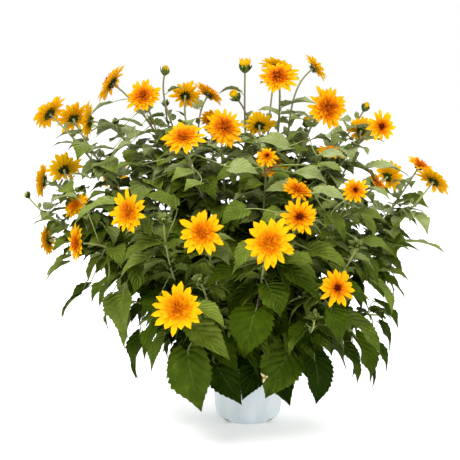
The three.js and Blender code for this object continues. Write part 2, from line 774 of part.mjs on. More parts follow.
// The skin between two four-cornered sections of a blade, split alike on its two faces.
function bridgeHalves(body, [r0, t0, l0, b0], [r1, t1, l1, b1]) {
  [
    [r0, t0, r1],
    [t0, t1, r1],
    [t0, l0, l1],
    [t0, l1, t1],
    [l0, b0, l1],
    [b0, b1, l1],
    [b0, r0, r1],
    [b0, r1, b1],
  ].forEach((face) => body.triangles.push(...face));
}

// The skin between two four-cornered sections of a blade, or a section and the tip, with a tooth on
// each edge at the share u of the blade's length.
function bridgeWithTeeth(body, leaf, lower, upper, u) {
  const [right, left] = body.ring([bladePoint(leaf, u, TOOTH), bladePoint(leaf, u, -TOOTH)]);
  const [r0, t0, l0, b0] = lower;
  const [r1, t1, l1, b1] = upper;
  const faces = [
    [r0, t0, right],
    [t0, t1, right],
    [right, t1, r1],
    [t0, l0, left],
    [t0, left, t1],
    [t1, left, l1],
    [l0, b0, left],
    [b0, b1, left],
    [left, b1, l1],
    [b0, r0, right],
    [b0, right, b1],
    [b1, right, r1],
  ];
  faces
    .filter((face) => new Set(face).size === 3)
    .forEach((face) => body.triangles.push(...face));
}

// What is already in place, as points with the gap that others keep from them.
class Occupied {
  constructor() {
    this.points = [];
  }

  add(samples, gap, owner) {
    samples.forEach((p) => this.points.push({ p, gap, owner }));
  }

  addLeaf(leaf) {
    this.add(bladeSamples(leaf), LEAF_GAP, leaf.stalk.owner);
    this.add(petioleSamples(leaf.root, leaf.base), STEM_GAP, leaf.stalk.owner);
  }

  // Whether samples keep clear. What a leaf's own stem has within `room` of its root isn't counted.
  clear(samples, root, owner, room) {
    if (samples.length === 0) return true;
    const middle = samples[Math.floor(samples.length / 2)];
    const reach = Math.max(...samples.map((s) => s.distanceTo(middle))) + WIDEST_GAP;
    const near = this.points.filter(
      (q) => q.p.distanceTo(middle) < reach && !(q.owner === owner && q.p.distanceTo(root) < room),
    );
    return samples.every((s) => near.every(({ p, gap }) => s.distanceTo(p) >= gap));
  }
}

// How far a leading leaf may move toward or away from the front, which keeps its outline.
const STEPS_BACK = [0, -12, 12, -24, 24, -36, 36, -50, 50];

// A leading leaf on its stalk. It takes the nearest part of a stalk that it can reach clear.
function leadingLeaf(spec, stalks, occupied) {
  const step = point(...spec.tip).sub(point(...spec.base));
  const ahead = step.clone().normalize();
  const outward = point(spec.base[0], spec.base[1], 0).normalize();
  const face = outward.multiplyScalar(0.6).addScaledVector(UP, 0.8);
  for (const back of STEPS_BACK) {
    const base = point(spec.base[0], spec.base[1] + back, spec.base[2]);
    const shape = {
      root: base,
      base,
      ahead,
      face,
      chord: step.length(),
      width: spec.width,
      arch: degrees(48),
      fold: degrees(16),
      phase: spec.base[0] + spec.base[2],
      leading: true,
    };
    const trial = makeLeaf(shape);
    const blade = bladeSamples(trial);
    const found = rootsFor(base, ahead, stalks).find(
      ({ root, stalk }) =>
        Math.abs(base.clone().sub(root).normalize().dot(trial.side)) < FARTHEST_ASIDE &&
        occupied.clear(blade, root, stalk.owner, BLADE_ROOM) &&
        occupied.clear(petioleSamples(root, base), root, stalk.owner, PETIOLE_ROOM),
    );
    if (found) return makeLeaf({ ...shape, ...found });
  }
  return null;
}

// The best places for a leaf's root: near, not folded back, and not along the stalk.
function rootsFor(base, ahead, stalks) {
  const roots = [];
  stalks.forEach((stalk) => {
    for (let step = 2; step < 31; step += 1) {
      const t = step * 0.03;
      const root = onJoints(stalk.joints, t);
      const way = base.clone().sub(root);
      const length = way.length();
      way.divideScalar(length);
      const steep = Math.abs(way.dot(runAt(stalk.joints, t)));
      if (length < SHORTEST_PETIOLE || length > 110 || steep > STEEPEST) continue;
      if (way.dot(ahead) < FARTHEST_BACK) continue;
      const back = Math.max(0, 0.2 - way.dot(ahead)) * 80;
      roots.push({ stalk, t, root, cost: length + back + Math.max(0, steep - 0.7) * 100 });
    }
  });
  return roots.sort((a, b) => a.cost - b.cost).slice(0, 24);
}

// How leaves follow each other up a main stem and up a side shoot: the shares of the stalk that
// they start and end at, the way between two, and the lengths of the first and the last.
const MAIN_HABIT = { start: 0.06, end: 0.82, spacing: 42, large: 112, small: 70 };
const SIDE_HABIT = { start: 0.2, end: 0.84, spacing: 50, large: 88, small: 46 };

// Ways to bend a leaf clear of others: turned about the upright, raised or lowered, and shortened.
const BENDS = [
  [0, 0, 1],
  [16, 0, 1],
  [-16, 0, 1],
  [0, 14, 1],
  [0, -14, 1],
  [32, 0, 0.92],
  [-32, 0, 0.92],
  [20, 16, 0.85],
  [-20, -16, 0.85],
  [48, 0, 0.85],
  [-48, 0, 0.85],
  [0, 28, 0.8],
  [0, -28, 0.8],
  [70, 10, 0.75],
  [-70, 10, 0.75],
];

// A leaf at the share t of a stalk, on the heading given, in degrees round the upright.
function grownLeaf(stalk, t, spec) {
  const root = onJoints(stalk.joints, t);
  const toward = (rise) =>
    point(
      Math.cos(degrees(spec.heading)) * Math.cos(degrees(rise)),
      Math.sin(degrees(spec.heading)) * Math.cos(degrees(rise)),
      Math.sin(degrees(rise)),
    );
  const ahead = toward(spec.rise);
  const level = point(-Math.sin(degrees(spec.heading)), Math.cos(degrees(spec.heading)), 0);
  const face = ahead.clone().cross(level).applyAxisAngle(ahead, degrees(spec.roll));
  return makeLeaf({
    stalk,
    t,
    root,
    base: root.clone().addScaledVector(toward(spec.stalkRise), spec.petiole),
    ahead,
    face,
    chord: spec.length,
    width: spec.length * spec.shape,
    arch: degrees(spec.arch),
    fold: degrees(spec.fold),
    phase: spec.phase,
  });
}

// Leaves up a stalk: large and hanging near the pot, small and level near the bloom.
function leavesOn(stalk, habit, draw, occupied) {
  const leaves = [];
  const { start, end, spacing, large, small, phase } = habit;
  const run = stalk.curve.getLength() * (end - start);
  const count = Math.max(1, Math.round(run / spacing));
  for (let k = 0; k < count; k += 1) {
    const share = count > 1 ? k / (count - 1) : 0.5;
    const t = mix(start, end, share) + mix(-0.012, 0.012, draw());
    const at = onJoints(stalk.joints, t);
    const outward = THREE.MathUtils.radToDeg(Math.atan2(at.y, at.x));
    const turn = ((k * 137.5 + phase) % 360) - 180;
    const height = Math.min(1, Math.max(0, (at.z - SOIL_LEVEL) / 480));
    const length = mix(large, small, share) * mix(0.85, 1.12, draw());
    const spec = {
      heading: outward + turn * 0.72,
      stalkRise: mix(15, 42, height) + mix(-10, 10, draw()),
      petiole: length * mix(0.42, 0.2, height),
      rise: mix(-58, 2, Math.sqrt(height)) + mix(-14, 14, draw()),
      roll: mix(-22, 22, draw()),
      length,
      shape: mix(0.82, 0.6, share) * mix(0.92, 1.08, draw()),
      arch: mix(30, 62, draw()),
      fold: mix(8, 26, draw()),
      phase: 2 * Math.PI * draw(),
    };
    const found = BENDS.map(([turned, raised, shortened]) =>
      grownLeaf(stalk, t, {
        ...spec,
        heading: spec.heading + turned,
        rise: spec.rise + raised,
        length: spec.length * shortened,
        petiole: Math.max(SHORTEST_PETIOLE, spec.petiole * shortened),
      }),
    ).find((leaf) => fits(leaf, occupied));
    if (found) {
      leaves.push(found);
      occupied.addLeaf(found);
    }
  }
  return leaves;
}

function fits(leaf, occupied) {
  const { root, base, stalk, t } = leaf;
  const blade = bladeSamples(leaf);
  const way = base.clone().sub(root).normalize();
  return (
    Math.abs(way.dot(runAt(stalk.joints, t))) <= STEEPEST &&
    blade.every((p) => p.z > 8) &&
    occupied.clear(blade, root, stalk.owner, BLADE_ROOM) &&
    occupied.clear(petioleSamples(root, base), root, stalk.owner, PETIOLE_ROOM)
  );
}

// Putting the plant together

function soilPlace(stem) {
  const a = degrees(stem.angle);
  return point(stem.row * Math.cos(a), stem.row * Math.sin(a), SOIL_LEVEL);
}

// Every stalk of a stem: the main one to its first bloom, then a side shoot to each other bloom
// and bud.
function stalksOf(stem, index) {
  const foot = soilPlace(stem);
  const [first, ...rest] = stem.blooms;
  const away = point(first.at[0] - foot.x, first.at[1] - foot.y, 0).normalize();
  const rise = degrees(stem.rise);
  const direction = away.multiplyScalar(Math.cos(rise)).addScaledVector(UP, Math.sin(rise));
  const curve = stalkCurve(foot, direction, first);
  const main = {
    owner: index,
    curve,
    joints: jointsOf(curve),
    end: first,
    radius: STEM_RADIUS,
    sides: 5,
  };
  const side = (end, bud) => {
    const start = onJoints(main.joints, end.from);
    const line = stalkCurve(start, leavingWay(curve.getTangent(end.from), start, end), end);
    const joints = jointsOf(line);
    return { owner: index, curve: line, joints, end, radius: SHOOT_RADIUS, sides: 3, bud };
  };
  const shoots = stem.shoots.map((end) => side(end, true));
  return { main, sides: [...rest.map((end) => side(end, false)), ...shoots] };
}

// A side shoot leaves its stem halfway between the stem's own direction and the way to its end.
function leavingWay(along, start, end) {
  const toward = neckOf(end).sub(start);
  const out = toward.addScaledVector(along, -toward.dot(along)).normalize();
  return along.clone().multiplyScalar(0.76).addScaledVector(out, 0.65);
}

function bloomSamples(bloom) {
  const place = bloomFrame(bloom);
  const radius = bloom.width / 2;
  const samples = [place(0, 0, 4)];
  [
    [0.35, 6],
    [0.7, 10],
    [1, 14],
  ].forEach(([share, count]) => {
    for (let i = 0; i < count; i += 1)
      samples.push(place(radius * share, (2 * Math.PI * i) / count, 4));
  });
  return samples;
}

function stalkSamples({ curve, joints }) {
  const count = Math.ceil(curve.getLength() / 8);
  return Array.from({ length: count + 1 }, (_, i) => onJoints(joints, i / count));
}

function potSamples() {
  const samples = [];
  for (let i = 0; i < 36; i += 1) {
    const a = (2 * Math.PI * i) / 36;
    for (const [radius, z] of POT_GUARD)
      samples.push(point(radius * Math.cos(a), radius * Math.sin(a), z));
  }
  return samples;
}

function plant() {
  const draw = drawFrom(20417);
  const occupied = new Occupied();
  const grown = STEMS.map((stem, index) => ({ stem, leaves: [], ...stalksOf(stem, index) }));
  const stalks = grown.flatMap(({ main, sides }) => [main, ...sides]);
  occupied.add(potSamples(), STEM_GAP, -1);
  stalks.forEach((stalk) => {
    const { end } = stalk;
    occupied.add(stalkSamples(stalk), STEM_GAP, stalk.owner);
    if (stalk.bud) occupied.add([bloomFrame(end)(0, 0, end.width / 2)], STEM_GAP + end.width / 2, -1);
    else occupied.add(bloomSamples(end), LEAF_GAP, -1);
  });
  LEADING_LEAVES.forEach((spec) => {
    const leaf = leadingLeaf(spec, stalks, occupied);
    if (!leaf) return;
    grown[leaf.stalk.owner].leaves.push(leaf);
    occupied.addLeaf(leaf);
  });
  const grow = (stalk, habit) =>
    grown[stalk.owner].leaves.push(...leavesOn(stalk, habit, draw, occupied));
  grown.forEach(({ main }) => grow(main, { ...MAIN_HABIT, phase: main.owner * 83 }));
  grown.forEach(({ sides }) =>
    sides.forEach((stalk, k) =>
      grow(stalk, { ...SIDE_HABIT, phase: stalk.owner * 83 + (k + 1) * 97 }),
    ),
  );
  return grown;
}

const middleOf = (points) =>
  points.reduce((sum, p) => sum.clone().add(p), point(0, 0, 0)).divideScalar(points.length);

// The free face of a stalk that looks the way a leaf or side shoot leaves it. It is looked for in
// the piece between two joints that the share t lies in, and in the next pieces.
function faceFor({ t, way }, rings, taken) {
  const steps = rings.length - 1;
  const here = Math.min(steps - 1, Math.floor(t * steps));
  let best = null;
  for (let k = Math.max(0, here - 1); k <= Math.min(steps - 1, here + 1); k += 1) {
    const share = Math.min(0.88, Math.max(0.12, t * steps - k));
    const off = Math.abs(t * steps - k - share);
    rings[k].forEach((_, i) => {
      const next = (i + 1) % rings[k].length;
      const face = [rings[k][i], rings[k][next], rings[k + 1][next], rings[k + 1][i]];
      const looks = middleOf(face).sub(middleOf([...rings[k], ...rings[k + 1]])).normalize();
      const score = looks.dot(way) - 2 * off;
      const key = `${k}/${i}`;
      if (!taken.has(key) && (!best || score > best.score)) best = { key, score, share };
    });
  }
  return best;
}

// A stalk on its foot, with the leaves and the side shoots that grow from its faces.
function addStalk(body, stalk, foot, growths) {
  const begin = body.corners[foot[0]].clone().sub(middleOf(foot.map((i) => body.corners[i])));
  const { rings, across, along } = stalkRings(stalk, begin);
  const taken = new Set();
  const opened = new Map();
  growths
    .filter((growth) => growth.from === stalk)
    .forEach((growth) => {
      const { key, share, score } = faceFor(growth, rings, taken);
      if (score < growth.least) return;
      taken.add(key);
      opened.set(key, { ...growth, share });
    });
  let lower = foot;
  rings.slice(1).forEach((points, k) => {
    const upper = body.ring(points);
    lower.forEach((a, i) => {
      const next = (i + 1) % lower.length;
      const face = [a, lower[next], upper[next], upper[i]];
      const growth = opened.get(`${k}/${i}`);
      if (growth) growth.add(openFace(body, face, growth.share, growth.fill));
      else body.triangles.push(face[0], face[1], face[2], face[0], face[2], face[3]);
    });
    lower = upper;
  });
  const end = (stalk.bud ? budRings : bractRings)(stalk.end, across, along);
  end.map((ring) => body.ring(ring)).reduce((below, above) => body.bridge(below, above), lower);
}

// A stem's whole solid: its stalks, bract cups, buds and leaves in one body.
function leafyStemSolid({ stem, main, sides, leaves }) {
  const body = new Body();
  const growths = [];
  sides.forEach((stalk) =>
    growths.push({
      from: main,
      t: stalk.end.from,
      way: stalk.joints[1].clone().sub(stalk.joints[0]).normalize(),
      fill: 0.8,
      least: -1,
      add: (foot) => addStalk(body, stalk, foot, growths),
    }),
  );
  leaves.forEach((leaf) =>
    growths.push({
      from: leaf.stalk,
      t: leaf.t,
      way: leaf.base.clone().sub(leaf.root).normalize(),
      fill: 0.6,
      least: LEAST_LOOK,
      add: (foot) => addLeaf(body, leaf, foot),
    }),
  );
  const rise = main.curve.getTangent(0);
  const begin = point(1, 0, 0).addScaledVector(rise, -rise.x).normalize();
  const collar = circle(main.joints[0], begin, rise, STEM_RADIUS, main.sides);
  const buried = collar.map((p) => point(p.x, p.y, soilPlace(stem).z - STEM_DEPTH));
  const foot = body.bridge(body.floor(body.ring(buried)), body.ring(collar));
  addStalk(body, main, foot, growths);
  return body.solid();
}

// Pot and soil

const profile = (pairs) => pairs.map(([r, z]) => new THREE.Vector2(r, z));

// A solid of revolution about the pot's axis.
function turned(pairs, sides) {
  const geometry = new THREE.LatheGeometry(profile(pairs), sides);
  geometry.rotateX(Math.PI / 2);
  return fromGeometry(geometry);
}

function potSolid() {
  const bandFoot = POT_HEIGHT - POT_RIM_BAND;
  const outer = [
    [0, 0],
    [POT_FOOT_RADIUS, 0],
    [POT_FOOT_RADIUS + 8, POT_CORNER_HEIGHT * 0.35],
    [POT_BODY_RADIUS, POT_CORNER_HEIGHT],
    [POT_MOUTH_RADIUS, bandFoot],
    [POT_RIM_RADIUS - 0.5, bandFoot + 1.5],
    [POT_RIM_RADIUS, POT_HEIGHT],
  ];
  const inner = [
    [POT_RIM_RADIUS - POT_WALL, POT_HEIGHT],
    [POT_RIM_RADIUS - POT_WALL - 0.5, bandFoot + 2.5],
    [POT_MOUTH_RADIUS - POT_WALL, bandFoot],
    [POT_BODY_RADIUS - POT_WALL, POT_CORNER_HEIGHT],
    [POT_FOOT_RADIUS, POT_FLOOR],
    [0, POT_FLOOR],
  ];
  let pot = turned([...outer, ...inner], POT_SIDES);
  for (let k = 0; k < NOTCH_COUNT; k += 1) {
    const notch = new THREE.BoxGeometry(NOTCH_WIDTH, 16, NOTCH_HEIGHT * 2);
    notch.translate(0, POT_FOOT_RADIUS + 10, 0);
    notch.rotateZ(Math.PI / 4 + (2 * Math.PI * k) / NOTCH_COUNT);
    pot = pot.subtract(fromGeometry(notch));
  }
  return pot;
}

function soilSolid() {
  const fill = (SOIL_LEVEL - 4 - POT_CORNER_HEIGHT) / (POT_HEIGHT - POT_RIM_BAND - POT_CORNER_HEIGHT);
  const wallAt = mix(POT_BODY_RADIUS, POT_MOUTH_RADIUS, fill) - POT_WALL - SOIL_GAP;
  let soil = turned(
    [
      [0, POT_FLOOR + SOIL_GAP],
      [POT_FOOT_RADIUS - 3, POT_FLOOR + SOIL_GAP],
      [POT_BODY_RADIUS - POT_WALL - SOIL_GAP - 1, POT_CORNER_HEIGHT + 1],
      [wallAt, SOIL_LEVEL - 4],
      [wallAt - 6, SOIL_LEVEL],
      [0, SOIL_LEVEL],
    ],
    POT_SIDES,
  );
  STEMS.forEach((stem) => {
    const foot = soilPlace(stem);
    const hole = new THREE.CylinderGeometry(HOLE_RADIUS, HOLE_RADIUS, STEM_DEPTH + 6, 5);
    hole.rotateX(Math.PI / 2);
    hole.translate(foot.x, foot.y, SOIL_LEVEL - STEM_DEPTH / 2 + 2);
    soil = soil.subtract(fromGeometry(hole));
  });
  return soil;
}

// Finishes
const plastic = new THREE.MeshStandardMaterial({ color: 0xdfe8ec, roughness: 0.45, metalness: 0 });
const peat = new THREE.MeshStandardMaterial({ color: 0x3a2a1c, roughness: 1, metalness: 0 });
const foliage = new THREE.MeshStandardMaterial({ color: 0x3f6b24, roughness: 0.55, metalness: 0 });
const petals = new THREE.MeshStandardMaterial({ color: 0xffb400, roughness: 0.6, metalness: 0 });

const sunflower = new THREE.Group();
sunflower.name = "potted_sunflower";
sunflower.add(meshOf(potSolid(), "pot", plastic));
sunflower.add(meshOf(soilSolid(), "soil", peat));

const petalDraw = drawFrom(7001);
plant().forEach((grown) => {
  sunflower.add(meshOf(leafyStemSolid(grown), `leafy_stem_${grown.stem.name}`, foliage));
  grown.stem.blooms.forEach((bloom) =>
    sunflower.add(meshOf(bloomSolid(bloom, petalDraw), `bloom_${bloom.name}`, petals)),
  );
});

export default sunflower;
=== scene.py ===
"""Dresses the potted sunflower: its pot, potting soil, leafy stems and semi-double blooms.

The plant is laid out by the same rule as its solids, in millimetres, and every finer piece stands
where its solid stands. The side that the camera looks at faces -Y.
"""

import logging
import math
from collections.abc import Callable, Sequence
from dataclasses import dataclass, field
from enum import Enum
from functools import partial

import bmesh
import bpy
import numpy as np
from mathutils import Matrix, Vector, noise


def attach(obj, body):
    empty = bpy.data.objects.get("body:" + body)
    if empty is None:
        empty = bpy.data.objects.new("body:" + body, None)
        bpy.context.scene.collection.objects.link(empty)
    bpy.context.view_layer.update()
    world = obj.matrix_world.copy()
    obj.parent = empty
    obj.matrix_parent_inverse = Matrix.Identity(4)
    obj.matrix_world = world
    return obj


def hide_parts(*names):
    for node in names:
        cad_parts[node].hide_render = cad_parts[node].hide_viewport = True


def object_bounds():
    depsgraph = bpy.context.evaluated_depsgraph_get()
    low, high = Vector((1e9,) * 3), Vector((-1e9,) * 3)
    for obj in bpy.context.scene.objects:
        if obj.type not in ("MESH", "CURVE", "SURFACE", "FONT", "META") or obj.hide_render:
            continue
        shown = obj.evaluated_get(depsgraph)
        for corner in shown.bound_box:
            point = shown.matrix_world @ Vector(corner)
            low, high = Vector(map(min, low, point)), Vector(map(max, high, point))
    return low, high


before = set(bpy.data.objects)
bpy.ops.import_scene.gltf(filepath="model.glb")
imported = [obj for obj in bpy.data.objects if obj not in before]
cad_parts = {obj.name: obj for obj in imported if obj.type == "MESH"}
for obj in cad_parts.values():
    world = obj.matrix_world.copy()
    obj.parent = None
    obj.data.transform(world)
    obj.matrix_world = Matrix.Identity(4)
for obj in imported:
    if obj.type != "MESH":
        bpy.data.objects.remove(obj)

LOG = logging.getLogger("sunflower")
METRES = 0.001
UP = np.array([0.0, 0.0, 1.0])
FRONT = np.array([0.0, -1.0, 0.0])

Array = np.ndarray
Share = float | Array
Place = tuple[float, float, float]
Shape = Callable[[Array, Array], Array]
Material = bpy.types.Material
Piece = bpy.types.Object
Socket = bpy.types.NodeSocket
Tree = bpy.types.NodeTree

# What the layout shares with the solids, in mm and shares: the pot and its soil,
POT_HEIGHT, POT_RIM_RADIUS, POT_MOUTH_RADIUS = 128.0, 78.0, 74.5
POT_BODY_RADIUS, POT_FOOT_RADIUS, POT_CORNER_HEIGHT = 66.0, 54.0, 14.0
POT_RIM_BAND, POT_WALL, SOIL_LEVEL = 14.0, 1.8, 112.0
# the two rings that the stems stand in, the stalks' radii, and how far they stop behind a bloom,
OUTER_ROW, INNER_ROW = 47.0, 20.0
STEM_RADIUS, SHOOT_RADIUS, NECK_RADIUS, HEAD_DEPTH = 4.0, 2.3, 1.7, 6.0
# the steps in which stalks and leaves are divided,
STALK_STEP, LAST_JOINT, STALK_SAMPLE_STEP, SAMPLE_STEP = 70.0, 5.0, 8.0, 9.0
# the leaves that wave at their edges, and the width up to which a bloom has fewer petals,
LARGE_LEAF, EDGE_WAVE, SMALL_BLOOM = 62.0, 0.16, 66.0
# the gaps that leaves keep from others, and how near its root what is near a leaf isn't counted,
LEAF_GAP, STEM_GAP, WIDEST_GAP = 10.0, 9.5, 21.0
PETIOLE_ROOM, BLADE_ROOM = 22.0, 5.0
# the limits of a leaf's own stalk, and the places on a stalk that are tried for its root.
SHORTEST_PETIOLE, LONGEST_PETIOLE, LOWEST_LEAF = 16.0, 110.0, 8.0
STEEPEST, FARTHEST_BACK, FARTHEST_ASIDE = 0.76, -0.4, 0.85
ROOT_STEP, ROOTS_TRIED = 0.03, 24
# How far a stalk's line is led on at its foot, as a share of the way, and at most before its head,
# and how much of a shoot's first direction is along the stem and out from it.
STALK_START, LONGEST_BEND, SHOOT_ALONG, SHOOT_OUT = 0.34, 150.0, 0.76, 0.65
# What makes a place dearer to a leading leaf: folding back and lying along the stalk.
FOLDED, FOLDED_COST, STEEP, STEEP_COST = 0.2, 80, 0.7, 100
# The arch and fold of a leading leaf in degrees, and how much it faces out and up.
LEADING_ARCH, LEADING_FOLD, LEADING_OUT, LEADING_UP = 48, 16, 0.6, 0.8
# How a blade widens and narrows again, how far its lobes reach back and where they end, and how
# fast its edge's waves follow each other.
BLADE_FACTOR, BLADE_TAPER, LOBE_REACH, LOBE_END = 2.755, 1.15, 0.14, 0.3
WAVES_ALONG, WAVES_ACROSS = 9, 1.5
# The rings of points that keep leaves off a bloom, as shares of its radius and the number in each,
# their height over its neck, and how many steps the rings round the pot have.
BLOOM_GUARD, BLOOM_GUARD_HEIGHT, POT_GUARD_STEPS = ((0.35, 6), (0.7, 10), (1.0, 14)), 4.0, 36
# The radius and height of rings round the pot that leaves keep off.
POT_GUARD = ((66, 20), (68, 36), (69, 52), (71, 68), (73, 84), (74, 100), (78, 114), (78, 128))
# The seeds of the draws. Each stem and each bloom has a draw of its own for its finer parts, a
# step on from the one before, and the solids' petals take a number of draws for each bloom.
LEAF_SEED, PETAL_SEED, GOLDEN_ANGLE = 20417, 7001, 137.5
STEM_SEED, STEM_SEED_STEP, BLOOM_SEED, BLOOM_SEED_STEP = 911, 37, 5003, 31
LARGE_BLOOM_DRAWS, SMALL_BLOOM_DRAWS = 32, 24
# How much of the gaps the leaves at the outline keep.
EDGE_EASE = 0.25
# How far a leading leaf may move toward or away from the front.
STEPS_BACK = (0, -12, 12, -24, 24, -36, 36, -50, 50)
# Ways to bend a leaf clear of others: turned about the upright, raised or lowered, and shortened.
BENDS = (
    (0, 0, 1.0), (16, 0, 1.0), (-16, 0, 1.0), (0, 14, 1.0), (0, -14, 1.0),
    (32, 0, 0.92), (-32, 0, 0.92), (20, 16, 0.85), (-20, -16, 0.85), (48, 0, 0.85),
    (-48, 0, 0.85), (0, 28, 0.8), (0, -28, 0.8), (70, 10, 0.75), (-70, 10, 0.75),
)
# The corners of the solids' box, in mm, and of the boxes that pieces and filling leaves stay in.
SOLIDS_BOX = np.array(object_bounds()) / METRES
PIECE_BOX = SOLIDS_BOX + ((0.2, 0.2, 0.0), (-0.2, -0.2, -0.2))
LEAF_BOX = SOLIDS_BOX + ((2.0, 2.0, 2.0), (-2.0, -2.0, -2.0))


class Look(Enum):
    """How a bloom is coloured: its warmth, from yellow to red-brown, and how dark its heart is."""

    YELLOW = (0.0, 0.0)
    GOLDEN = (0.09, 0.0)
    ORANGE = (0.18, 0.12)
    DARK_HEART = (0.07, 0.7)


YELLOW, GOLDEN, ORANGE, DARK_HEART = Look


@dataclass(frozen=True)
class Head:
    """What a stalk ends in: a bloom, or the bud or folded tip of a young shoot.

    `at` and `width` are in mm, `yaw` and `pitch` say in degrees how far it looks to the right and
    up, its shoot leaves the stem at the share `start`, and `bend` is how much of its stalk lies
    along its axis. `name` is a bloom's number.
    """

    at: Place
    width: float
    yaw: float
    pitch: float
    name: str = ""
    look: Look = YELLOW
    start: float = 0.0
    bend: float = 0.36


@dataclass(frozen=True)
class StemPlan:
    """A leafy stem: where it stands, how steeply it rises and what its stalks end in."""

    name: str
    angle: float
    row: float
    rise: float
    blooms: tuple[Head, ...]
    shoots: tuple[Head, ...] = ()


STEMS = (
    StemPlan("far_left_top", 165, OUTER_ROW, 62, (
        Head((-400, 30, 620), 84, -120, 35, "01", GOLDEN),
        Head((-362, 110, 604), 74, -155, 30, "02", GOLDEN, 0.5),
        Head((-318, 0, 605), 76, -98, 5, "03", YELLOW, 0.4),
    )),
    StemPlan("left_top", 180, INNER_ROW, 76, (
        Head((-274, 20, 680), 86, -105, 32, "04", GOLDEN),
        Head((-205, -30, 655), 70, -12, 35, "05", ORANGE, 0.5),
    ), (
        Head((-265, 30, 600), 13, -60, 70, start=0.55),
        Head((-163, -10, 700), 15, 40, 70, start=0.5),
    )),
    StemPlan("middle_left_top", 130, INNER_ROW, 84, (
        Head((-126, 60, 654), 64, 175, 30, "06", GOLDEN),
        Head((-78, 95, 655), 70, 125, 50, "07", GOLDEN, 0.5),
        Head((-70, 40, 606), 62, 170, 48, "10", ORANGE, 0.35),
    ), (
        Head((-166, 45, 636), 13, 0, 75, start=0.6),
    )),
    StemPlan("middle_top", 240, INNER_ROW, 84, (
        Head((-48, -110, 602), 78, 12, 30, "09", ORANGE, 0, 0.2),
        Head((-122, -150, 588), 80, -8, 52, "08", GOLDEN, 0.45),
        Head((20, -25, 601), 60, 180, 25, "36", YELLOW, 0.35),
    )),
    StemPlan("left", 195, OUTER_ROW, 54, (
        Head((-372, 40, 507), 72, -165, 30, "11"),
        Head((-406, -30, 490), 76, -95, 5, "12", GOLDEN, 0.6),
        Head((-334, -75, 450), 60, -40, 40, "13", GOLDEN, 0.45),
    )),
    StemPlan("low_left", 222, OUTER_ROW, 47, (
        Head((-325, -130, 385), 72, -62, 5, "17", GOLDEN),
        Head((-399, -40, 372), 64, -105, -12, "16", GOLDEN, 0.5),
        Head((-217, -230, 460), 80, -38, 12, "14", YELLOW, 0.35, 0.25),
    ), (
        Head((-438, -20, 460), 13, -90, 50, start=0.62),
        Head((-240, -90, 265), 10, -70, 10, start=0.2),
        Head((-155, -235, 445), 12, -10, 75, start=0.35),
    )),
    StemPlan("front_left", 252, OUTER_ROW, 52, (
        Head((-126, -330, 310), 88, -3, 14, "45", YELLOW, 0, 0.22),
        Head((-85, -300, 435), 80, 0, 15, "15", YELLOW, 0.35, 0.2),
    ), (
        Head((-180, -175, 245), 10, -50, 10, start=0.3),
        Head((-90, -270, 345), 12, -20, 50, start=0.5),
    )),
    StemPlan("right_top", 60, INNER_ROW, 82, (
        Head((54, -60, 694), 76, -12, 38, "21", ORANGE, 0, 0.2),
        Head((54, 45, 714), 62, 165, 60, "20", YELLOW, 0.5),
        Head((133, 30, 709), 66, 105, 32, "22", YELLOW, 0.55),
    ), (
        Head((-8, 0, 705), 22, 0, 80, start=0.45),
        Head((-24, -8, 650), 19, -60, 50, start=0.3),
    )),
    StemPlan("far_right_top", 350, INNER_ROW, 80, (
        Head((145, -110, 637), 84, 25, 12, "23", ORANGE, 0, 0.2),
        Head((222, 10, 586), 60, 172, 15, "25", GOLDEN, 0.45),
        Head((252, -60, 598), 60, 12, 8, "26", DARK_HEART, 0.5, 0.2),
        Head((157, -60, 552), 58, 15, 68, "27", GOLDEN, 0.4),
    ), (
        Head((190, -40, 520), 13, 40, 60, start=0.35),
        Head((230, 20, 628), 15, 60, 60, start=0.55),
        Head((112, -20, 600), 17, 0, 80, start=0.62),
    )),
    StemPlan("right", 350, OUTER_ROW, 52, (
        Head((372, 10, 488), 80, 125, 42, "29", GOLDEN),
        Head((350, 60, 512), 66, 60, 60, "28", GOLDEN, 0.5),
        Head((298, 70, 398), 54, 95, 10, "41", ORANGE, 0.4),
    ), (
        Head((280, -60, 320), 10, 70, 20, start=0.4),
        Head((255, -110, 240), 10, 60, 5, start=0.25),
    )),
    StemPlan("middle", 290, INNER_ROW, 84, (
        Head((40, -85, 521), 68, 5, 62, "31", ORANGE),
        Head((30, -180, 555), 42, 0, 40, "30", DARK_HEART, 0.55),
        Head((84, -200, 495), 62, 35, 55, "32", ORANGE, 0.4),
    )),
    StemPlan("front", 283, OUTER_ROW, 60, (
        Head((29, -330, 423), 90, 4, 20, "42", YELLOW, 0, 0.2),
        Head((84, -270, 458), 66, 0, 20, "34", DARK_HEART, 0.5, 0.2),
    ), (
        Head((-35, -245, 255), 12, 0, 40, start=0.35),
    )),
    StemPlan("front_right", 315, OUTER_ROW, 50, (
        Head((149, -300, 338), 64, 5, 10, "43", DARK_HEART, 0, 0.2),
        Head((187, -210, 497), 48, 5, 10, "33", DARK_HEART, 0.35, 0.15),
        Head((246, -60, 490), 58, 70, 35, "35", GOLDEN, 0.3),
    ), (
        Head((185, -190, 245), 10, 40, 5, start=0.25),
        Head((112, -275, 280), 12, 0, 70, start=0.4),
        Head((190, -225, 400), 12, 20, 60, start=0.5),
    )),
    StemPlan("back_left", 120, OUTER_ROW, 58, (
        Head((-290, 235, 470), 76, -140, 20, "51"),
        Head((-130, 330, 420), 82, 175, 15, "52", YELLOW, 0.4),
        Head((20, 350, 350), 84, 180, 8, "53", YELLOW, 0.3),
    )),
    StemPlan("back_right", 45, OUTER_ROW, 58, (
        Head((160, 330, 440), 82, 165, 15, "54"),
        Head((310, 210, 470), 76, 135, 20, "55", GOLDEN, 0.45),
        Head((60, 280, 510), 70, 178, 35, "56", ORANGE, 0.5),
    )),
)

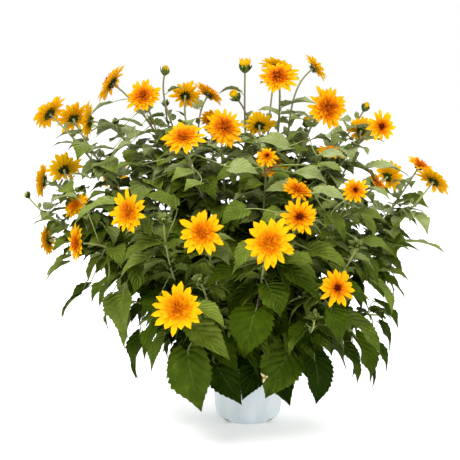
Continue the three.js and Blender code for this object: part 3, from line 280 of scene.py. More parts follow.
# The leaves that give the plant its outline and its front: the blade's base and tip and its
# width, in mm.
LEADING_LEAVES = (
    (-115, -200, 195, -90, -225, 85, 86), (-70, -110, 150, -15, -135, 65, 66),
    (120, -180, 175, 125, -200, 90, 66), (75, -150, 185, 30, -165, 90, 82),
    (10, -240, 285, -15, -265, 200, 80), (80, -115, 185, 85, -130, 100, 66),
    (20, -120, 150, -15, -145, 85, 54), (200, -150, 210, 230, -165, 120, 64),
    (-240, -130, 285, -230, -150, 205, 70), (110, -220, 250, 25, -240, 220, 56),
    (180, -200, 260, 240, -220, 190, 50), (60, -240, 365, 125, -270, 300, 48),
    (-105, -200, 260, -35, -240, 205, 54), (30, -230, 330, 55, -250, 275, 58),
    (145, -220, 285, 160, -240, 220, 52), (-65, -150, 200, -20, -170, 145, 46),
    (-85, -190, 320, -60, -230, 260, 42), (-170, -200, 250, -195, -215, 180, 34),
    (-210, -120, 205, -215, -130, 115, 42), (-160, -150, 215, -185, -160, 140, 36),
    (-150, -60, 185, -160, -60, 135, 28), (-270, -60, 265, -275, -60, 190, 40),
    (-265, -150, 320, -295, -180, 280, 34), (-315, -60, 285, -370, -60, 220, 40),
    (-285, -100, 350, -305, -130, 310, 38), (-350, -60, 345, -395, -80, 305, 34),
    (-355, -40, 435, -405, -60, 415, 26), (-255, -150, 465, -325, -170, 430, 46),
    (-165, -210, 405, -230, -240, 370, 42), (-180, -180, 375, -240, -200, 335, 38),
    (-170, -210, 295, -195, -240, 270, 34), (-10, -260, 470, -55, -280, 445, 42),
    (-5, -280, 410, -25, -300, 370, 32), (-25, -240, 365, -85, -270, 335, 30),
    (105, -220, 390, 175, -250, 360, 46), (75, -280, 390, 110, -300, 380, 26),
    (180, -120, 210, 180, -120, 155, 34), (200, -100, 165, 200, -100, 110, 28),
    (245, -120, 185, 265, -130, 125, 30), (250, -100, 225, 270, -110, 170, 34),
    (240, -120, 270, 285, -150, 220, 38), (255, -100, 325, 305, -130, 310, 34),
    (270, -60, 300, 285, -60, 260, 24), (315, -40, 370, 390, -60, 345, 36),
    (280, -80, 370, 330, -100, 360, 28), (205, -170, 395, 265, -190, 375, 36),
    (190, -150, 370, 240, -170, 310, 56), (190, -160, 445, 250, -180, 435, 38),
    (300, 0, 440, 335, 0, 440, 20), (300, -20, 430, 345, -40, 430, 24),
    (145, -200, 450, 170, -220, 400, 30), (-135, -190, 465, -195, -200, 485, 38),
    (-330, -60, 470, -375, -70, 460, 30), (-310, -60, 500, -350, -70, 505, 26),
    (-265, -60, 555, -310, -80, 550, 30), (-340, 0, 560, -390, -10, 555, 24),
    (-260, 0, 595, -310, -20, 585, 30), (-210, -60, 600, -260, -80, 610, 34),
    (-180, -40, 585, -215, -60, 580, 26), (-210, -110, 530, -255, -140, 520, 36),
    (-260, -80, 500, -290, -100, 505, 26), (-105, -170, 525, -145, -200, 510, 34),
    (-90, -200, 510, -120, -230, 500, 30), (-15, -160, 525, -65, -190, 510, 42),
    (-35, -180, 535, 15, -200, 525, 38), (70, -100, 565, 5, -110, 575, 40),
    (65, -20, 620, 125, -30, 610, 32), (55, -20, 620, 15, -30, 630, 28),
    (85, -150, 520, 140, -180, 505, 42), (130, -90, 545, 190, -110, 540, 40),
    (125, -120, 535, 170, -140, 525, 34), (225, -60, 520, 310, -70, 505, 42),
    (220, -110, 485, 265, -130, 465, 34), (90, -160, 490, 25, -180, 490, 40),
    (115, -190, 495, 170, -210, 480, 36), (65, -100, 515, 40, -130, 495, 28),
    (-375, -40, 420, -420, -50, 410, 24),
)
# Leaves that only this scene has, at its outline, in the same way.
EDGE_LEAVES = (
    (-270, -20, 640, -308, -30, 615, 36), (-250, 0, 592, -305, -10, 570, 40),
    (-230, -60, 565, -268, -70, 530, 40), (-275, -40, 470, -322, -60, 445, 36),
    (-345, 0, 415, -388, 0, 380, 38), (-300, -60, 395, -345, -70, 370, 36),
    (-355, -60, 330, -402, -70, 290, 38), (-330, -60, 270, -370, -70, 215, 36),
    (-250, -100, 315, -287, -120, 255, 48), (-225, -90, 235, -242, -110, 170, 42),
    (-212, -60, 170, -222, -70, 95, 36), (200, -60, 522, 245, -70, 495, 44),
    (215, -100, 430, 236, -110, 375, 42), (235, -120, 312, 270, -140, 250, 46),
    (255, -60, 308, 306, -70, 262, 42), (180, -150, 190, 206, -160, 118, 44),
    (215, -110, 185, 240, -120, 95, 46), (300, 0, 420, 340, -10, 390, 38),
)


def mix(a: Share, b: Share, t: Share) -> Share:
    """The value between a and b at the share t."""
    return a + (b - a) * t


def held(x: Share) -> Share:
    """The value, held between 0 and 1."""
    return np.clip(x, 0, 1)


def unit(v: Array) -> Array:
    """The direction of a vector."""
    return v / np.linalg.norm(v)


def squared(v: Array) -> Array:
    """The squared length of each vector."""
    return np.einsum("...i,...i->...", v, v)


def cross(a: Array, b: Array) -> Array:
    """The cross product of two vectors."""
    x, y, z = a
    return np.array([y * b[2] - z * b[1], z * b[0] - x * b[2], x * b[1] - y * b[0]])


class Draw:
    """The same draw of numbers between 0 and 1 each time."""

    FACTOR, MODULUS = 16807, 2147483647

    def __init__(self, seed: int) -> None:
        """Start the draw from a seed."""
        self.state = seed

    def __call__(self) -> float:
        """The next number."""
        self.state = (self.state * self.FACTOR) % self.MODULUS
        return self.state / self.MODULUS

    def between(self, low: float, high: float) -> float:
        """The next number, between low and high."""
        return mix(low, high, self())


@dataclass(frozen=True)
class Curve:
    """A cubic line by its four control points, in mm."""

    points: tuple[Array, Array, Array, Array]
    steps: int = 200

    def at(self, t: Share) -> Array:
        """The place at one share of the line, or the places at several.

        Args:
            t: the share or shares, from 0 to 1.

        Returns:
            One place, or one a row.
        """
        t = np.asarray(t, float)[..., None]
        k = 1 - t
        a, b, c, d = self.points
        return k * k * k * a + 3 * k * k * t * b + 3 * k * t * t * c + t * t * t * d

    def tangent(self, t: float, step: float = 0.0001) -> Array:
        """The direction that the line runs in at the share t."""
        return unit(self.at(min(1.0, t + step)) - self.at(max(0.0, t - step)))

    def length(self) -> float:
        """The line's length in mm."""
        runs = np.diff(self.at(np.arange(self.steps + 1) / self.steps), axis=0)
        return float(np.linalg.norm(runs, axis=1).sum())


class HeadFrame:
    """A frame round a head's axis: the axis, its side, its rise and the neck of its stalk."""

    def __init__(self, head: Head) -> None:
        """Work the frame out.

        Args:
            head: what the stalk ends in.
        """
        yaw, pitch = math.radians(head.yaw), math.radians(head.pitch)
        flat = math.cos(pitch)
        self.axis = np.array([math.sin(yaw) * flat, -math.cos(yaw) * flat, math.sin(pitch)])
        self.side = unit(cross(self.axis, UP))
        self.rise = cross(self.side, self.axis)
        self.neck = np.array(head.at, float) - HEAD_DEPTH * self.axis

    def place(self, radius: Share, angle: Share, height: Share) -> Array:
        """A place, or several, by their distance from the axis.

        Args:
            radius: how far from the axis, in mm.
            angle: where round it, in radians from its side.
            height: how far along it from the neck, in mm.

        Returns:
            One place, or one a row.
        """
        radius, angle, height = (np.asarray(x, float)[..., None] for x in (radius, angle, height))
        across = np.cos(angle) * self.side + np.sin(angle) * self.rise
        return self.neck + radius * across + height * self.axis


@dataclass(eq=False)
class Stalk:
    """A stalk: its stem's number, its line, what it ends in and its radius at its foot."""

    owner: int
    curve: Curve
    end: Head
    radius: float
    bud: bool = False

    def __post_init__(self) -> None:
        """Work out the joints of the stalk's solid, at even steps of its line."""
        steps = max(3, math.floor(self.curve.length() / STALK_STEP + 0.5))
        joints = [self.curve.at(k / steps) for k in range(steps)]
        last = self.curve.at(1.0) - LAST_JOINT * self.curve.tangent(1.0)
        self.joints = np.array([*joints, last])

    def on_joints(self, t: float) -> Array:
        """The place at a share of the straight pieces between the joints.

        Args:
            t: the share, from 0 to 1.

        Returns:
            The place, in mm.
        """
        steps = len(self.joints) - 1
        k = min(steps - 1, math.floor(t * steps))
        return self.joints[k] + (self.joints[k + 1] - self.joints[k]) * (t * steps - k)

    def run_at(self, t: float) -> Array:
        """The direction of the straight piece at the share t."""
        k = min(len(self.joints) - 2, math.floor(t * (len(self.joints) - 1)))
        return unit(self.joints[k + 1] - self.joints[k])

    def samples(self) -> Array:
        """Places all along the stalk."""
        count = math.ceil(self.curve.length() / STALK_SAMPLE_STEP)
        return np.array([self.on_joints(i / count) for i in range(count + 1)])


def blade_share(u: Share) -> Share:
    """How wide a blade is at the share u of its length, from 0 to 1 at the widest."""
    return BLADE_FACTOR * np.sqrt(u) * (1 - u) ** BLADE_TAPER


@dataclass(eq=False)
class Leaf:
    """A leaf whose blade runs from its base along `ahead` under an arch."""

    root: Array
    base: Array
    ahead: Array
    face: Array
    chord: float
    width: float
    arch: float
    fold: float
    phase: float
    stalk: Stalk | None = None
    t: float = 0.0
    leading: bool = False

    def __post_init__(self) -> None:
        """Work out the blade's own frame and length."""
        self.upper = unit(self.face - self.ahead * float(self.face @ self.ahead))
        self.side = cross(self.upper, self.ahead)
        self.bow = self.chord / (2 * math.sin(self.arch / 2))
        self.length = self.bow * self.arch
        large = self.length > (LARGE_LEAF if self.leading else 1.4 * LARGE_LEAF)
        self.wave = EDGE_WAVE if large else 0.0

    def blade(self, u: Array, v: Array, wave: float) -> Array:
        """Places on the blade.

        Args:
            u: shares along the blade.
            v: shares across it, from -1 to 1.
            wave: how far the edge waves.

        Returns:
            One place a row, in mm.
        """
        turn = self.arch / 2 - self.arch * u
        forward = self.bow * (math.sin(self.arch / 2) - np.sin(turn))
        rise = self.bow * (np.cos(turn) - math.cos(self.arch / 2))
        half = (self.width / 2) * blade_share(u)
        lobe = self.length * LOBE_REACH * np.abs(v) * np.maximum(0, 1 - u / LOBE_END)
        ripple = wave * np.sin(WAVES_ALONG * u + WAVES_ACROSS * v + self.phase)
        raised = np.abs(v) * half * (math.sin(self.fold) + np.abs(v) * ripple)
        along = forward - lobe * np.cos(turn) - raised * np.sin(turn)
        upward = rise - lobe * np.sin(turn) + raised * np.cos(turn)
        aside = v * half * math.cos(self.fold)
        return (
            self.base
            + along[..., None] * self.ahead
            + upward[..., None] * self.upper
            + aside[..., None] * self.side
        )

    def up(self, u: Array) -> Array:
        """The way up from the middle of the blade at shares u of its length."""
        turn = (self.arch / 2 - self.arch * u)[..., None]
        return np.cos(turn) * self.upper - np.sin(turn) * self.ahead

    def samples(self) -> Array:
        """Places all over the blade.

        Returns:
            One place a row, in mm.
        """
        shares = []
        along = max(2, math.ceil(self.length / SAMPLE_STEP))
        for i in range(along + 1):
            half = (self.width / 2) * float(blade_share(i / along))
            across = math.ceil(half / SAMPLE_STEP)
            shares += [(i / along, j / max(1, across)) for j in range(-across, across + 1)]
        return self.blade(*np.array(shares).T.copy(), self.wave)

    def petiole_samples(self) -> Array:
        """Places along the leaf's own stalk.

        Returns:
            One place a row, in mm.
        """
        steps = math.floor(float(np.linalg.norm(self.base - self.root)) / SAMPLE_STEP)
        shares = np.array([(i + 1) / (steps + 1) for i in range(steps)])[:, None]
        return self.root + (self.base - self.root) * shares


class Occupied:
    """What is already in place, as points with the gap that others keep from them."""

    def __init__(self) -> None:
        """Start with nothing in place."""
        self.points, self.gaps, self.owners = np.zeros((0, 3)), np.zeros(0), np.zeros(0, int)

    def add(self, samples: Array, gap: float, owner: int = -1) -> None:
        """Put points in place.

        Args:
            samples: the points, in mm.
            gap: how far others keep from them.
            owner: the number of the stem that they belong to, or -1.
        """
        self.points = np.vstack([self.points, samples])
        self.gaps = np.append(self.gaps, np.full(len(samples), gap))
        self.owners = np.append(self.owners, np.full(len(samples), owner))

    def clear(self, samples: Array, leaf: Leaf, room: float, ease: float) -> bool:
        """Whether some points of a leaf keep clear of what is in place.

        Args:
            samples: the points, in mm.
            leaf: their leaf.
            room: how near its root what belongs to its own stem isn't counted.
            ease: the share of the gaps that is kept.

        Returns:
            Whether they keep clear.
        """
        if len(samples) == 0:
            return True
        middle = samples[len(samples) // 2]
        reach = math.sqrt(squared(samples - middle).max()) + WIDEST_GAP
        near = squared(self.points - middle) < reach * reach
        points, gaps, owners = self.points[near], self.gaps[near] * ease, self.owners[near]
        far = squared(points - leaf.root) >= room * room
        others = (owners != leaf.stalk.owner) | far
        points, gaps = points[others], gaps[others]
        apart = squared(samples[:, None, :] - points[None, :, :])
        return bool(np.all(apart >= gaps * gaps))


@dataclass(frozen=True)
class Habit:
    """How leaves follow each other up a stalk: start and end, spacing and lengths in mm.

    `lowest` and `level` are how far the lowest and the highest leaves point up, in degrees, and
    `sway` is how unlike each other they lie. `ease` is the share of the gaps that they keep and
    `top` the height that they stay under. The pairs are for the lowest and highest leaves: how far
    the leaf's own stalk points up, its length and the blade's width as shares of the blade's
    length. The highest leaves stand `reach` above the soil.
    """

    start: float
    end: float
    spacing: float
    large: float
    small: float
    lowest: float = -58.0
    level: float = 2.0
    sway: float = 1.0
    ease: float = 1.0
    top: float = 1000.0
    petiole_rise: tuple[float, float] = (15, 42)
    petiole: tuple[float, float] = (0.42, 0.2)
    width: tuple[float, float] = (0.82, 0.6)
    reach: float = 480.0
    heading: float = 0.72
    smallest_petiole: float = 0.4


# The habits of main stalks and side shoots in each round. The solids have the first round alone,
# three more fill the gaps, and young leaves in the forks of the stalks are the last.
HABITS = (
    (Habit(0.06, 0.82, 42, 112, 70), Habit(0.2, 0.84, 50, 88, 46)),
    (
        Habit(0.1, 0.8, 24, 112, 70, -64, -20, 1.5, 0.42, 565),
        Habit(0.1, 0.8, 27, 92, 54, -60, -16, 1.5, 0.42, 585),
    ),
    (
        Habit(0.14, 0.8, 23, 84, 50, -64, -16, 1.7, 0.28, 545),
        Habit(0.12, 0.82, 26, 66, 38, -60, -10, 1.7, 0.28, 565),
    ),
    (
        Habit(0.2, 0.85, 21, 74, 46, -60, -10, 1.8, 0.18, 515),
        Habit(0.12, 0.82, 23, 62, 38, -56, -6, 1.8, 0.18, 515),
    ),
    (
        Habit(0.3, 0.9, 24, 29, 19, 0, 30, 1.6, 0.12, 610),
        Habit(0.12, 0.9, 20, 27, 17, 0, 35, 1.6, 0.12, 610),
    ),
)
# How far each round's leaves are turned round the stalks, and the leaves of each stem and of
# each of its shoots past those of the one before, in degrees.
ROUND_TURNS = (0.0, 61.0, 108.0, 155.0, 202.0)
STEM_TURN, SHOOT_TURN = 83, 97


@dataclass(eq=False)
class GrownStem:
    """A stem with its stalks, the main one first, and its leaves in place."""

    plan: StemPlan
    stalks: list[Stalk]
    leaves: list[Leaf] = field(default_factory=list)


class Layout:
    """Where every stalk and leaf of the plant stands."""

    def __init__(self) -> None:
        """Lay the whole plant out."""
        self.occupied = Occupied()
        self.ease = 1.0
        self.stems = [self.stalks_of(plan, i) for i, plan in enumerate(STEMS)]
        self.stalks = [stalk for stem in self.stems for stalk in stem.stalks]
        self.fill_guards()
        self.spots = [(s, step * ROOT_STEP) for s in self.stalks for step in range(2, 31)]
        self.roots = np.array([s.on_joints(t) for s, t in self.spots])
        self.runs = np.array([s.run_at(t) for s, t in self.spots])
        self.place_leading(LEADING_LEAVES)
        draw = Draw(LEAF_SEED)
        for habits, turn in zip(HABITS, ROUND_TURNS):
            self.ease = habits[0].ease
            self.grow_round(habits, draw, turn)
            LOG.info("%d leaves in place", self.count())
        self.ease = EDGE_EASE
        self.place_leading(EDGE_LEAVES)
        LOG.info("%d leaves in place", self.count())

    def count(self) -> int:
        """How many leaves are in place."""
        return sum(len(stem.leaves) for stem in self.stems)

    @staticmethod
    def stalk_curve(start: Array, direction: Array, head: Head) -> Curve:
        """The line of a stalk, which enters its head along the head's axis.

        Args:
            start: where it starts, in mm.
            direction: the way that it leaves.
            head: what it ends in.

        Returns:
            The line.
        """
        at = HeadFrame(head)
        reach = float(np.linalg.norm(at.neck - start))
        bend = min(LONGEST_BEND, reach * head.bend)
        straight = start + direction * (reach * STALK_START)
        return Curve((start, straight, at.neck - at.axis * bend, at.neck))

    def stalks_of(self, plan: StemPlan, index: int) -> GrownStem:
        """The stalks of a stem: the main one, then one to each other bloom, bud and shoot tip.

        Args:
            plan: the stem's plan.
            index: the stem's number.

        Returns:
            The stem, with no leaves yet.
        """
        angle, rise = math.radians(plan.angle), math.radians(plan.rise)
        foot = np.array([plan.row * math.cos(angle), plan.row * math.sin(angle), SOIL_LEVEL])
        first, *rest = plan.blooms
        away = unit(np.array([first.at[0] - foot[0], first.at[1] - foot[1], 0.0]))
        curve = self.stalk_curve(foot, away * math.cos(rise) + UP * math.sin(rise), first)
        main = Stalk(index, curve, first, STEM_RADIUS)
        stem = GrownStem(plan, [main])
        for head in (*rest, *plan.shoots):
            start = main.on_joints(head.start)
            along = curve.tangent(head.start)
            toward = HeadFrame(head).neck - start
            out = unit(toward - along * float(toward @ along))
            line = self.stalk_curve(start, along * SHOOT_ALONG + out * SHOOT_OUT, head)
            stem.stalks.append(Stalk(index, line, head, SHOOT_RADIUS, head in plan.shoots))
        return stem

    def fill_guards(self) -> None:
        """Keep leaves off the pot, the stalks and the blooms."""
        turns = [2 * math.pi * i / POT_GUARD_STEPS for i in range(POT_GUARD_STEPS)]
        pot = [(r * math.cos(a), r * math.sin(a), z) for a in turns for r, z in POT_GUARD]
        self.occupied.add(np.array(pot), STEM_GAP)
        for stalk in self.stalks:
            at, radius = HeadFrame(stalk.end), stalk.end.width / 2
            self.occupied.add(stalk.samples(), STEM_GAP, stalk.owner)
            if stalk.bud:
                self.occupied.add(at.place(0, 0, radius)[None], STEM_GAP + radius)
                continue
            rings = [at.place(0, 0, BLOOM_GUARD_HEIGHT)[None]]
            for share, count in BLOOM_GUARD:
                angles = 2 * math.pi * np.arange(count) / count
                rings.append(at.place(radius * share, angles, BLOOM_GUARD_HEIGHT))
            self.occupied.add(np.vstack(rings), LEAF_GAP)

    def place_leading(self, specs: Sequence[tuple[float, ...]]) -> None:
        """Put leaves in one by one, where there is room for them.

        Args:
            specs: for each leaf, where its blade starts and ends and its width.
        """
        for spec in specs:
            leaf = self.leading_leaf(np.array(spec[:3], float), np.array(spec[3:6], float), spec[6])
            if leaf is not None:
                self.keep(leaf)

    def leading_leaf(self, base: Array, tip: Array, width: float) -> Leaf | None:
        """A leading leaf on the nearest part of a stalk that it can reach clear.

        Args:
            base: where the blade starts, in mm.
            tip: where it ends.
            width: its width.

        Returns:
            The leaf, or None where there is no room.
        """
        step = tip - base
        ahead = unit(step)
        face = unit(base * np.array([1, 1, 0])) * LEADING_OUT + UP * LEADING_UP
        bends = (math.radians(LEADING_ARCH), math.radians(LEADING_FOLD), float(base[0] + base[2]))
        shape = (ahead, face, float(np.linalg.norm(step)), width, *bends)
        for back in STEPS_BACK:
            at = base - FRONT * back
            blade = Leaf(at, at, *shape, leading=True).samples()
            for k in self.roots_for(at, ahead):
                leaf = Leaf(self.roots[k], at, *shape, *self.spots[k], True)
                aside = abs(float(unit(at - leaf.root) @ leaf.side))
                if aside < FARTHEST_ASIDE and self.keeps_clear(leaf, blade):
                    return leaf
        return None

    def roots_for(self, base: Array, ahead: Array) -> Array:
        """The best places for a leaf's root: near, not folded back and not along the stalk.

        Args:
            base: where the blade starts.
            ahead: the way that it runs.

        Returns:
            The numbers of the places, the best first.
        """
        way = base - self.roots
        length = np.linalg.norm(way, axis=1)
        way /= length[:, None]
        steep = np.abs((way * self.runs).sum(axis=1))
        forward = way @ ahead
        cost = length + np.maximum(0, FOLDED - forward) * FOLDED_COST
        cost += np.maximum(0, steep - STEEP) * STEEP_COST
        fair = (length >= SHORTEST_PETIOLE) & (length <= LONGEST_PETIOLE)
        fair &= (steep <= STEEPEST) & (forward >= FARTHEST_BACK)
        order = np.argsort(np.where(fair, cost, np.inf), kind="stable")
        return order[: min(ROOTS_TRIED, int(fair.sum()))]

    def keeps_clear(self, leaf: Leaf, blade: Array) -> bool:
        """Whether a leaf keeps clear of what is in place.

        Args:
            leaf: the leaf.
            blade: the samples of its blade.

        Returns:
            Whether its blade and its own stalk keep clear.
        """
        return self.occupied.clear(blade, leaf, BLADE_ROOM, self.ease) and (
            self.occupied.clear(leaf.petiole_samples(), leaf, PETIOLE_ROOM, self.ease)
        )

    def keep(self, leaf: Leaf) -> None:
        """Put a leaf on its stem.

        Args:
            leaf: the leaf.
        """
        self.stems[leaf.stalk.owner].leaves.append(leaf)
        self.occupied.add(leaf.samples(), LEAF_GAP, leaf.stalk.owner)
        self.occupied.add(leaf.petiole_samples(), STEM_GAP, leaf.stalk.owner)

    def grow_round(self, habits: tuple[Habit, Habit], draw: Draw, turn: float) -> None:
        """Grow leaves up every main stalk and then up every side shoot.

        Args:
            habits: the habits of the main stalks and of the side shoots.
            draw: the numbers that vary the leaves.
            turn: how far the leaves are turned round the stalks, in degrees.
        """
        for stem in self.stems:
            self.grow(stem.stalks[0], habits[0], draw, stem.stalks[0].owner * STEM_TURN + turn)
        for stem in self.stems:
            for k, stalk in enumerate(stem.stalks[1:], 1):
                phase = stalk.owner * STEM_TURN + k * SHOOT_TURN + turn
                self.grow(stalk, habits[1], draw, phase)

    def grow(self, stalk: Stalk, habit: Habit, draw: Draw, phase: float) -> None:
        """Grow leaves up a stalk: large and hanging near the pot, small and level higher up.

        Args:
            stalk: the stalk.
            habit: how its leaves follow each other.
            draw: the numbers that vary them.
            phase: the heading that they start from, in degrees.
        """
        run = stalk.curve.length() * (habit.end - habit.start)
        count = max(1, math.floor(run / habit.spacing + 0.5))
        for k in range(count):
            share = k / (count - 1) if count > 1 else 0.5
            t = mix(habit.start, habit.end, share) + draw.between(-0.012, 0.012)
            root = stalk.on_joints(t)
            if root[2] > habit.top:
                continue
            outward = math.degrees(math.atan2(root[1], root[0]))
            turn = ((k * GOLDEN_ANGLE + phase) % 360) - 180
            height = min(1.0, max(0.0, (root[2] - SOIL_LEVEL) / habit.reach))
            length = mix(habit.large, habit.small, share) * draw.between(0.85, 1.12)
            stalk_rise = mix(*habit.petiole_rise, height) + draw.between(-10, 10)
            petiole = length * mix(*habit.petiole, height)
            rise = mix(habit.lowest, habit.level, math.sqrt(height)) + draw.between(-14, 14)
            roll = draw.between(-22, 22) * habit.sway
            width = mix(*habit.width, share) * draw.between(0.92, 1.08)
            arch, fold = draw.between(30, 62), draw.between(8, 26)
            bends = (roll, arch, fold, 2 * math.pi * draw())
            shortest = SHORTEST_PETIOLE
            if self.ease < 1:
                shortest = min(shortest, length * habit.smallest_petiole)
            for turned, raised, shortened in BENDS:
                heading = outward + turn * habit.heading + turned
                sizes = (max(shortest, petiole * shortened), length * shortened, width)
                rises = (rise + raised, stalk_rise)
                leaf = self.grown_leaf(stalk, t, heading, rises, sizes, bends)
                if self.fits(leaf):
                    self.keep(leaf)
                    break

    @staticmethod
    def grown_leaf(
        stalk: Stalk,
        t: float,
        heading: float,
        rises: tuple[float, float],
        sizes: tuple[float, float, float],
        bends: tuple[float, float, float, float],
    ) -> Leaf:
        """A leaf at the share t of a stalk.

        Args:
            stalk: the stalk.
            t: the share of it.
            heading: where the leaf points, in degrees round the upright.
            rises: how far the blade and its own stalk point up, in degrees.
            sizes: the lengths of its own stalk and its blade, in mm, and the blade's width as a
                share of its length.
            bends: roll, arch and fold in degrees, and the phase of the edge's wave.

        Returns:
            The leaf.
        """
        root = stalk.on_joints(t)
        h = math.radians(heading)

        def toward(lift: float) -> Array:
            """The heading, raised.

            Args:
                lift: how far, in degrees.

            Returns:
                The direction.
            """
            a = math.radians(lift)
            flat = math.cos(a)
            return np.array([math.cos(h) * flat, math.sin(h) * flat, math.sin(a)])

        roll, arch, fold, phase = bends
        petiole, length, width = sizes
        ahead = toward(rises[0])
        face = cross(ahead, np.array([-math.sin(h), math.cos(h), 0.0]))
        a = math.radians(roll)
        face = face * math.cos(a) + cross(ahead, face) * math.sin(a)
        base = root + toward(rises[1]) * petiole
        shape = (length, length * width, math.radians(arch), math.radians(fold))
        return Leaf(root, base, ahead, face, *shape, phase, stalk, t)

    def fits(self, leaf: Leaf) -> bool:
        """Whether a leaf leaves its stalk well, keeps clear and stays in the solids' box.

        Args:
            leaf: the leaf.

        Returns:
            Whether it fits.
        """
        blade = leaf.samples()
        way = unit(leaf.base - leaf.root)
        low, high = LEAF_BOX
        if self.ease < 1 and not (np.all(blade > low) and np.all(blade < high)):
            return False
        return (
            abs(float(way @ leaf.stalk.run_at(leaf.t))) <= STEEPEST
            and bool(np.all(blade[:, 2] > LOWEST_LEAF))
            and self.keeps_clear(leaf, blade)
        )


# Finishes


def colour(code: str) -> tuple[float, float, float, float]:
    """A linear colour from its sRGB hex value, such as "#4F6F1E".

    Args:
        code: the hex value.

    Returns:
        Red, green, blue and 1 for opaque.
    """
    parts = [int(code[i : i + 2], 16) / 255 for i in (1, 3, 5)]
    linear = [p / 12.92 if p <= 0.04045 else ((p + 0.055) / 1.055) ** 2.4 for p in parts]
    return (*linear, 1.0)


def add_node(
    tree: Tree,
    kind: str,
    inputs: dict | Sequence = (),
    out: int | str = 0,
    stops: Sequence[tuple[float, str]] = (),
    **settings: object,
) -> Socket | None:
    """Add one shader node with its settings and links.

    Args:
        tree: the material's nodes.
        kind: the node's type, after "ShaderNode".
        inputs: a value or another node's socket for each input, in order or by name or number.
        out: the output that is wanted.
        stops: a share and an sRGB hex value for each colour of a ramp.
        settings: the node's own settings.

    Returns:
        The socket of the wanted output, or None where the node has no output.
    """
    node = tree.nodes.new("ShaderNode" + kind)
    for name, value in settings.items():
        setattr(node, name, value)
    for key, value in (inputs if isinstance(inputs, dict) else dict(enumerate(inputs))).items():
        if isinstance(value, Socket):
            tree.links.new(value, node.inputs[key])
        else:
            node.inputs[key].default_value = value
    for _ in stops[2:]:
        node.color_ramp.elements.new(0.5)
    for k, (place, code) in enumerate(stops):
        node.color_ramp.elements[k].position = place
        node.color_ramp.elements[k].color = colour(code)
    return node.outputs[out] if node.outputs else None


def new_material(name: str) -> tuple[Material, Callable[..., Socket]]:
    """Start a material.

    Args:
        name: what the material is.

    Returns:
        The material, with no nodes yet, and what adds a node to it.
    """
    material = bpy.data.materials.new(name)
    material.use_nodes = True
    material.node_tree.nodes.clear()
    return material, partial(add_node, material.node_tree)


@dataclass(frozen=True)
class PotPlastic:
    """Injection-moulded polypropylene: a pale blue-white, satin, with faint flow marks and painted
    shade in the notches of its foot.
    """

    body: str = "#D3DCDF"
    shade: str = "#C3CED3"
    # The dark grey of the painted shade in the foot's notches.
    notch_shade: str = "#4A4F4C"
    roughness: float = 0.42

    def make(self) -> Material:
        """Make the material.

        Returns:
            The material.
        """
        material, node = new_material("moulded_polypropylene")
        spot = node("TexCoord", out="Object")
        # Flow marks about 30 mm wide, drawn out up the pot, and a grain of 1 mm.
        flow = node("Mapping", {"Vector": spot, "Scale": (30, 30, 8)})
        marks = node("TexNoise", {"Vector": flow, "Scale": 1, "Detail": 3})
        grain = node("TexNoise", {"Vector": spot, "Scale": 900, "Detail": 2})
        clean = node("ValToRGB", (marks,), stops=((0.3, self.shade), (0.62, self.body)))
        # Painted shade in the notches of the foot, where the "tone" attribute falls to 0: a dark
        # grey that stands in for the shadow under the lifted edge.
        tone = node("Attribute", out="Fac", attribute_name="tone")
        tint = node("Mix", {0: tone, 6: colour(self.notch_shade), 7: clean}, 2, data_type="RGBA")
        relief = node("Bump", {"Height": grain, "Strength": 0.12, "Distance": 0.0002})
        shine = node("MapRange", {0: marks, 3: self.roughness, 4: self.roughness + 0.12})
        plastic = {"Base Color": tint, "Roughness": shine, "Normal": relief, "IOR": 1.49}
        plastic |= {"Subsurface Weight": 0.1, "Subsurface Scale": 0.003}
        node("OutputMaterial", (node("BsdfPrincipled", plastic),))
        return material


@dataclass(frozen=True)
class PottingSoil:
    """Peat-based compost: dark brown crumbs of a few mm, dull, darker where it is damp."""

    damp: str = "#20150D"
    dry: str = "#4E3A28"

    def make(self) -> Material:
        """Make the material.

        Returns:
            The material.
        """
        material, node = new_material("peat_compost")
        spot = node("TexCoord", out="Object")
        # Crumbs of about 4 mm, with grit of 1 mm on them.
        crumbs = node("TexVoronoi", {"Vector": spot, "Scale": 250})
        grit = node("TexNoise", {"Vector": spot, "Scale": 700, "Detail": 6})
        tint = node("ValToRGB", (grit,), stops=((0.35, self.damp), (0.7, self.dry)))
        height = node("Math", (crumbs, grit), operation="SUBTRACT")
        relief = node("Bump", {"Height": height, "Strength": 0.9, "Distance": 0.002})
        peat = {"Base Color": tint, "Roughness": 0.95, "Normal": relief}
        node("OutputMaterial", (node("BsdfPrincipled", peat),))
        return material


@dataclass(frozen=True)
class ThinSheet:
    """The face of a leaf or petal, which light shines through.

    A piece's "tone" attribute goes along the shades. In a leaf it runs from 0, deep in the plant,
    to 1,
    high up and far out: partly the leaf's age, and partly painted shade below and painted light and
    sheen above. In a petal it is the warmth, from clear yellow to brown.
    """

    name: str
    shades: tuple[tuple[float, str], ...]
    through: float
    roughness: float

    def end(self, node: Callable[..., Socket], face: dict[str, object], glow: Socket) -> None:
        """End the material.

        Args:
            node: what adds a node to it.
            face: what its face adds to the roughness, with the bumped normal.
            glow: the colour of the light that comes through.
        """
        surface = node("BsdfPrincipled", {"Roughness": self.roughness} | face)
        glowing = node("BsdfTranslucent", {"Color": glow, "Normal": face["Normal"]})
        node("OutputMaterial", (node("MixShader", (self.through, surface, glowing)),))


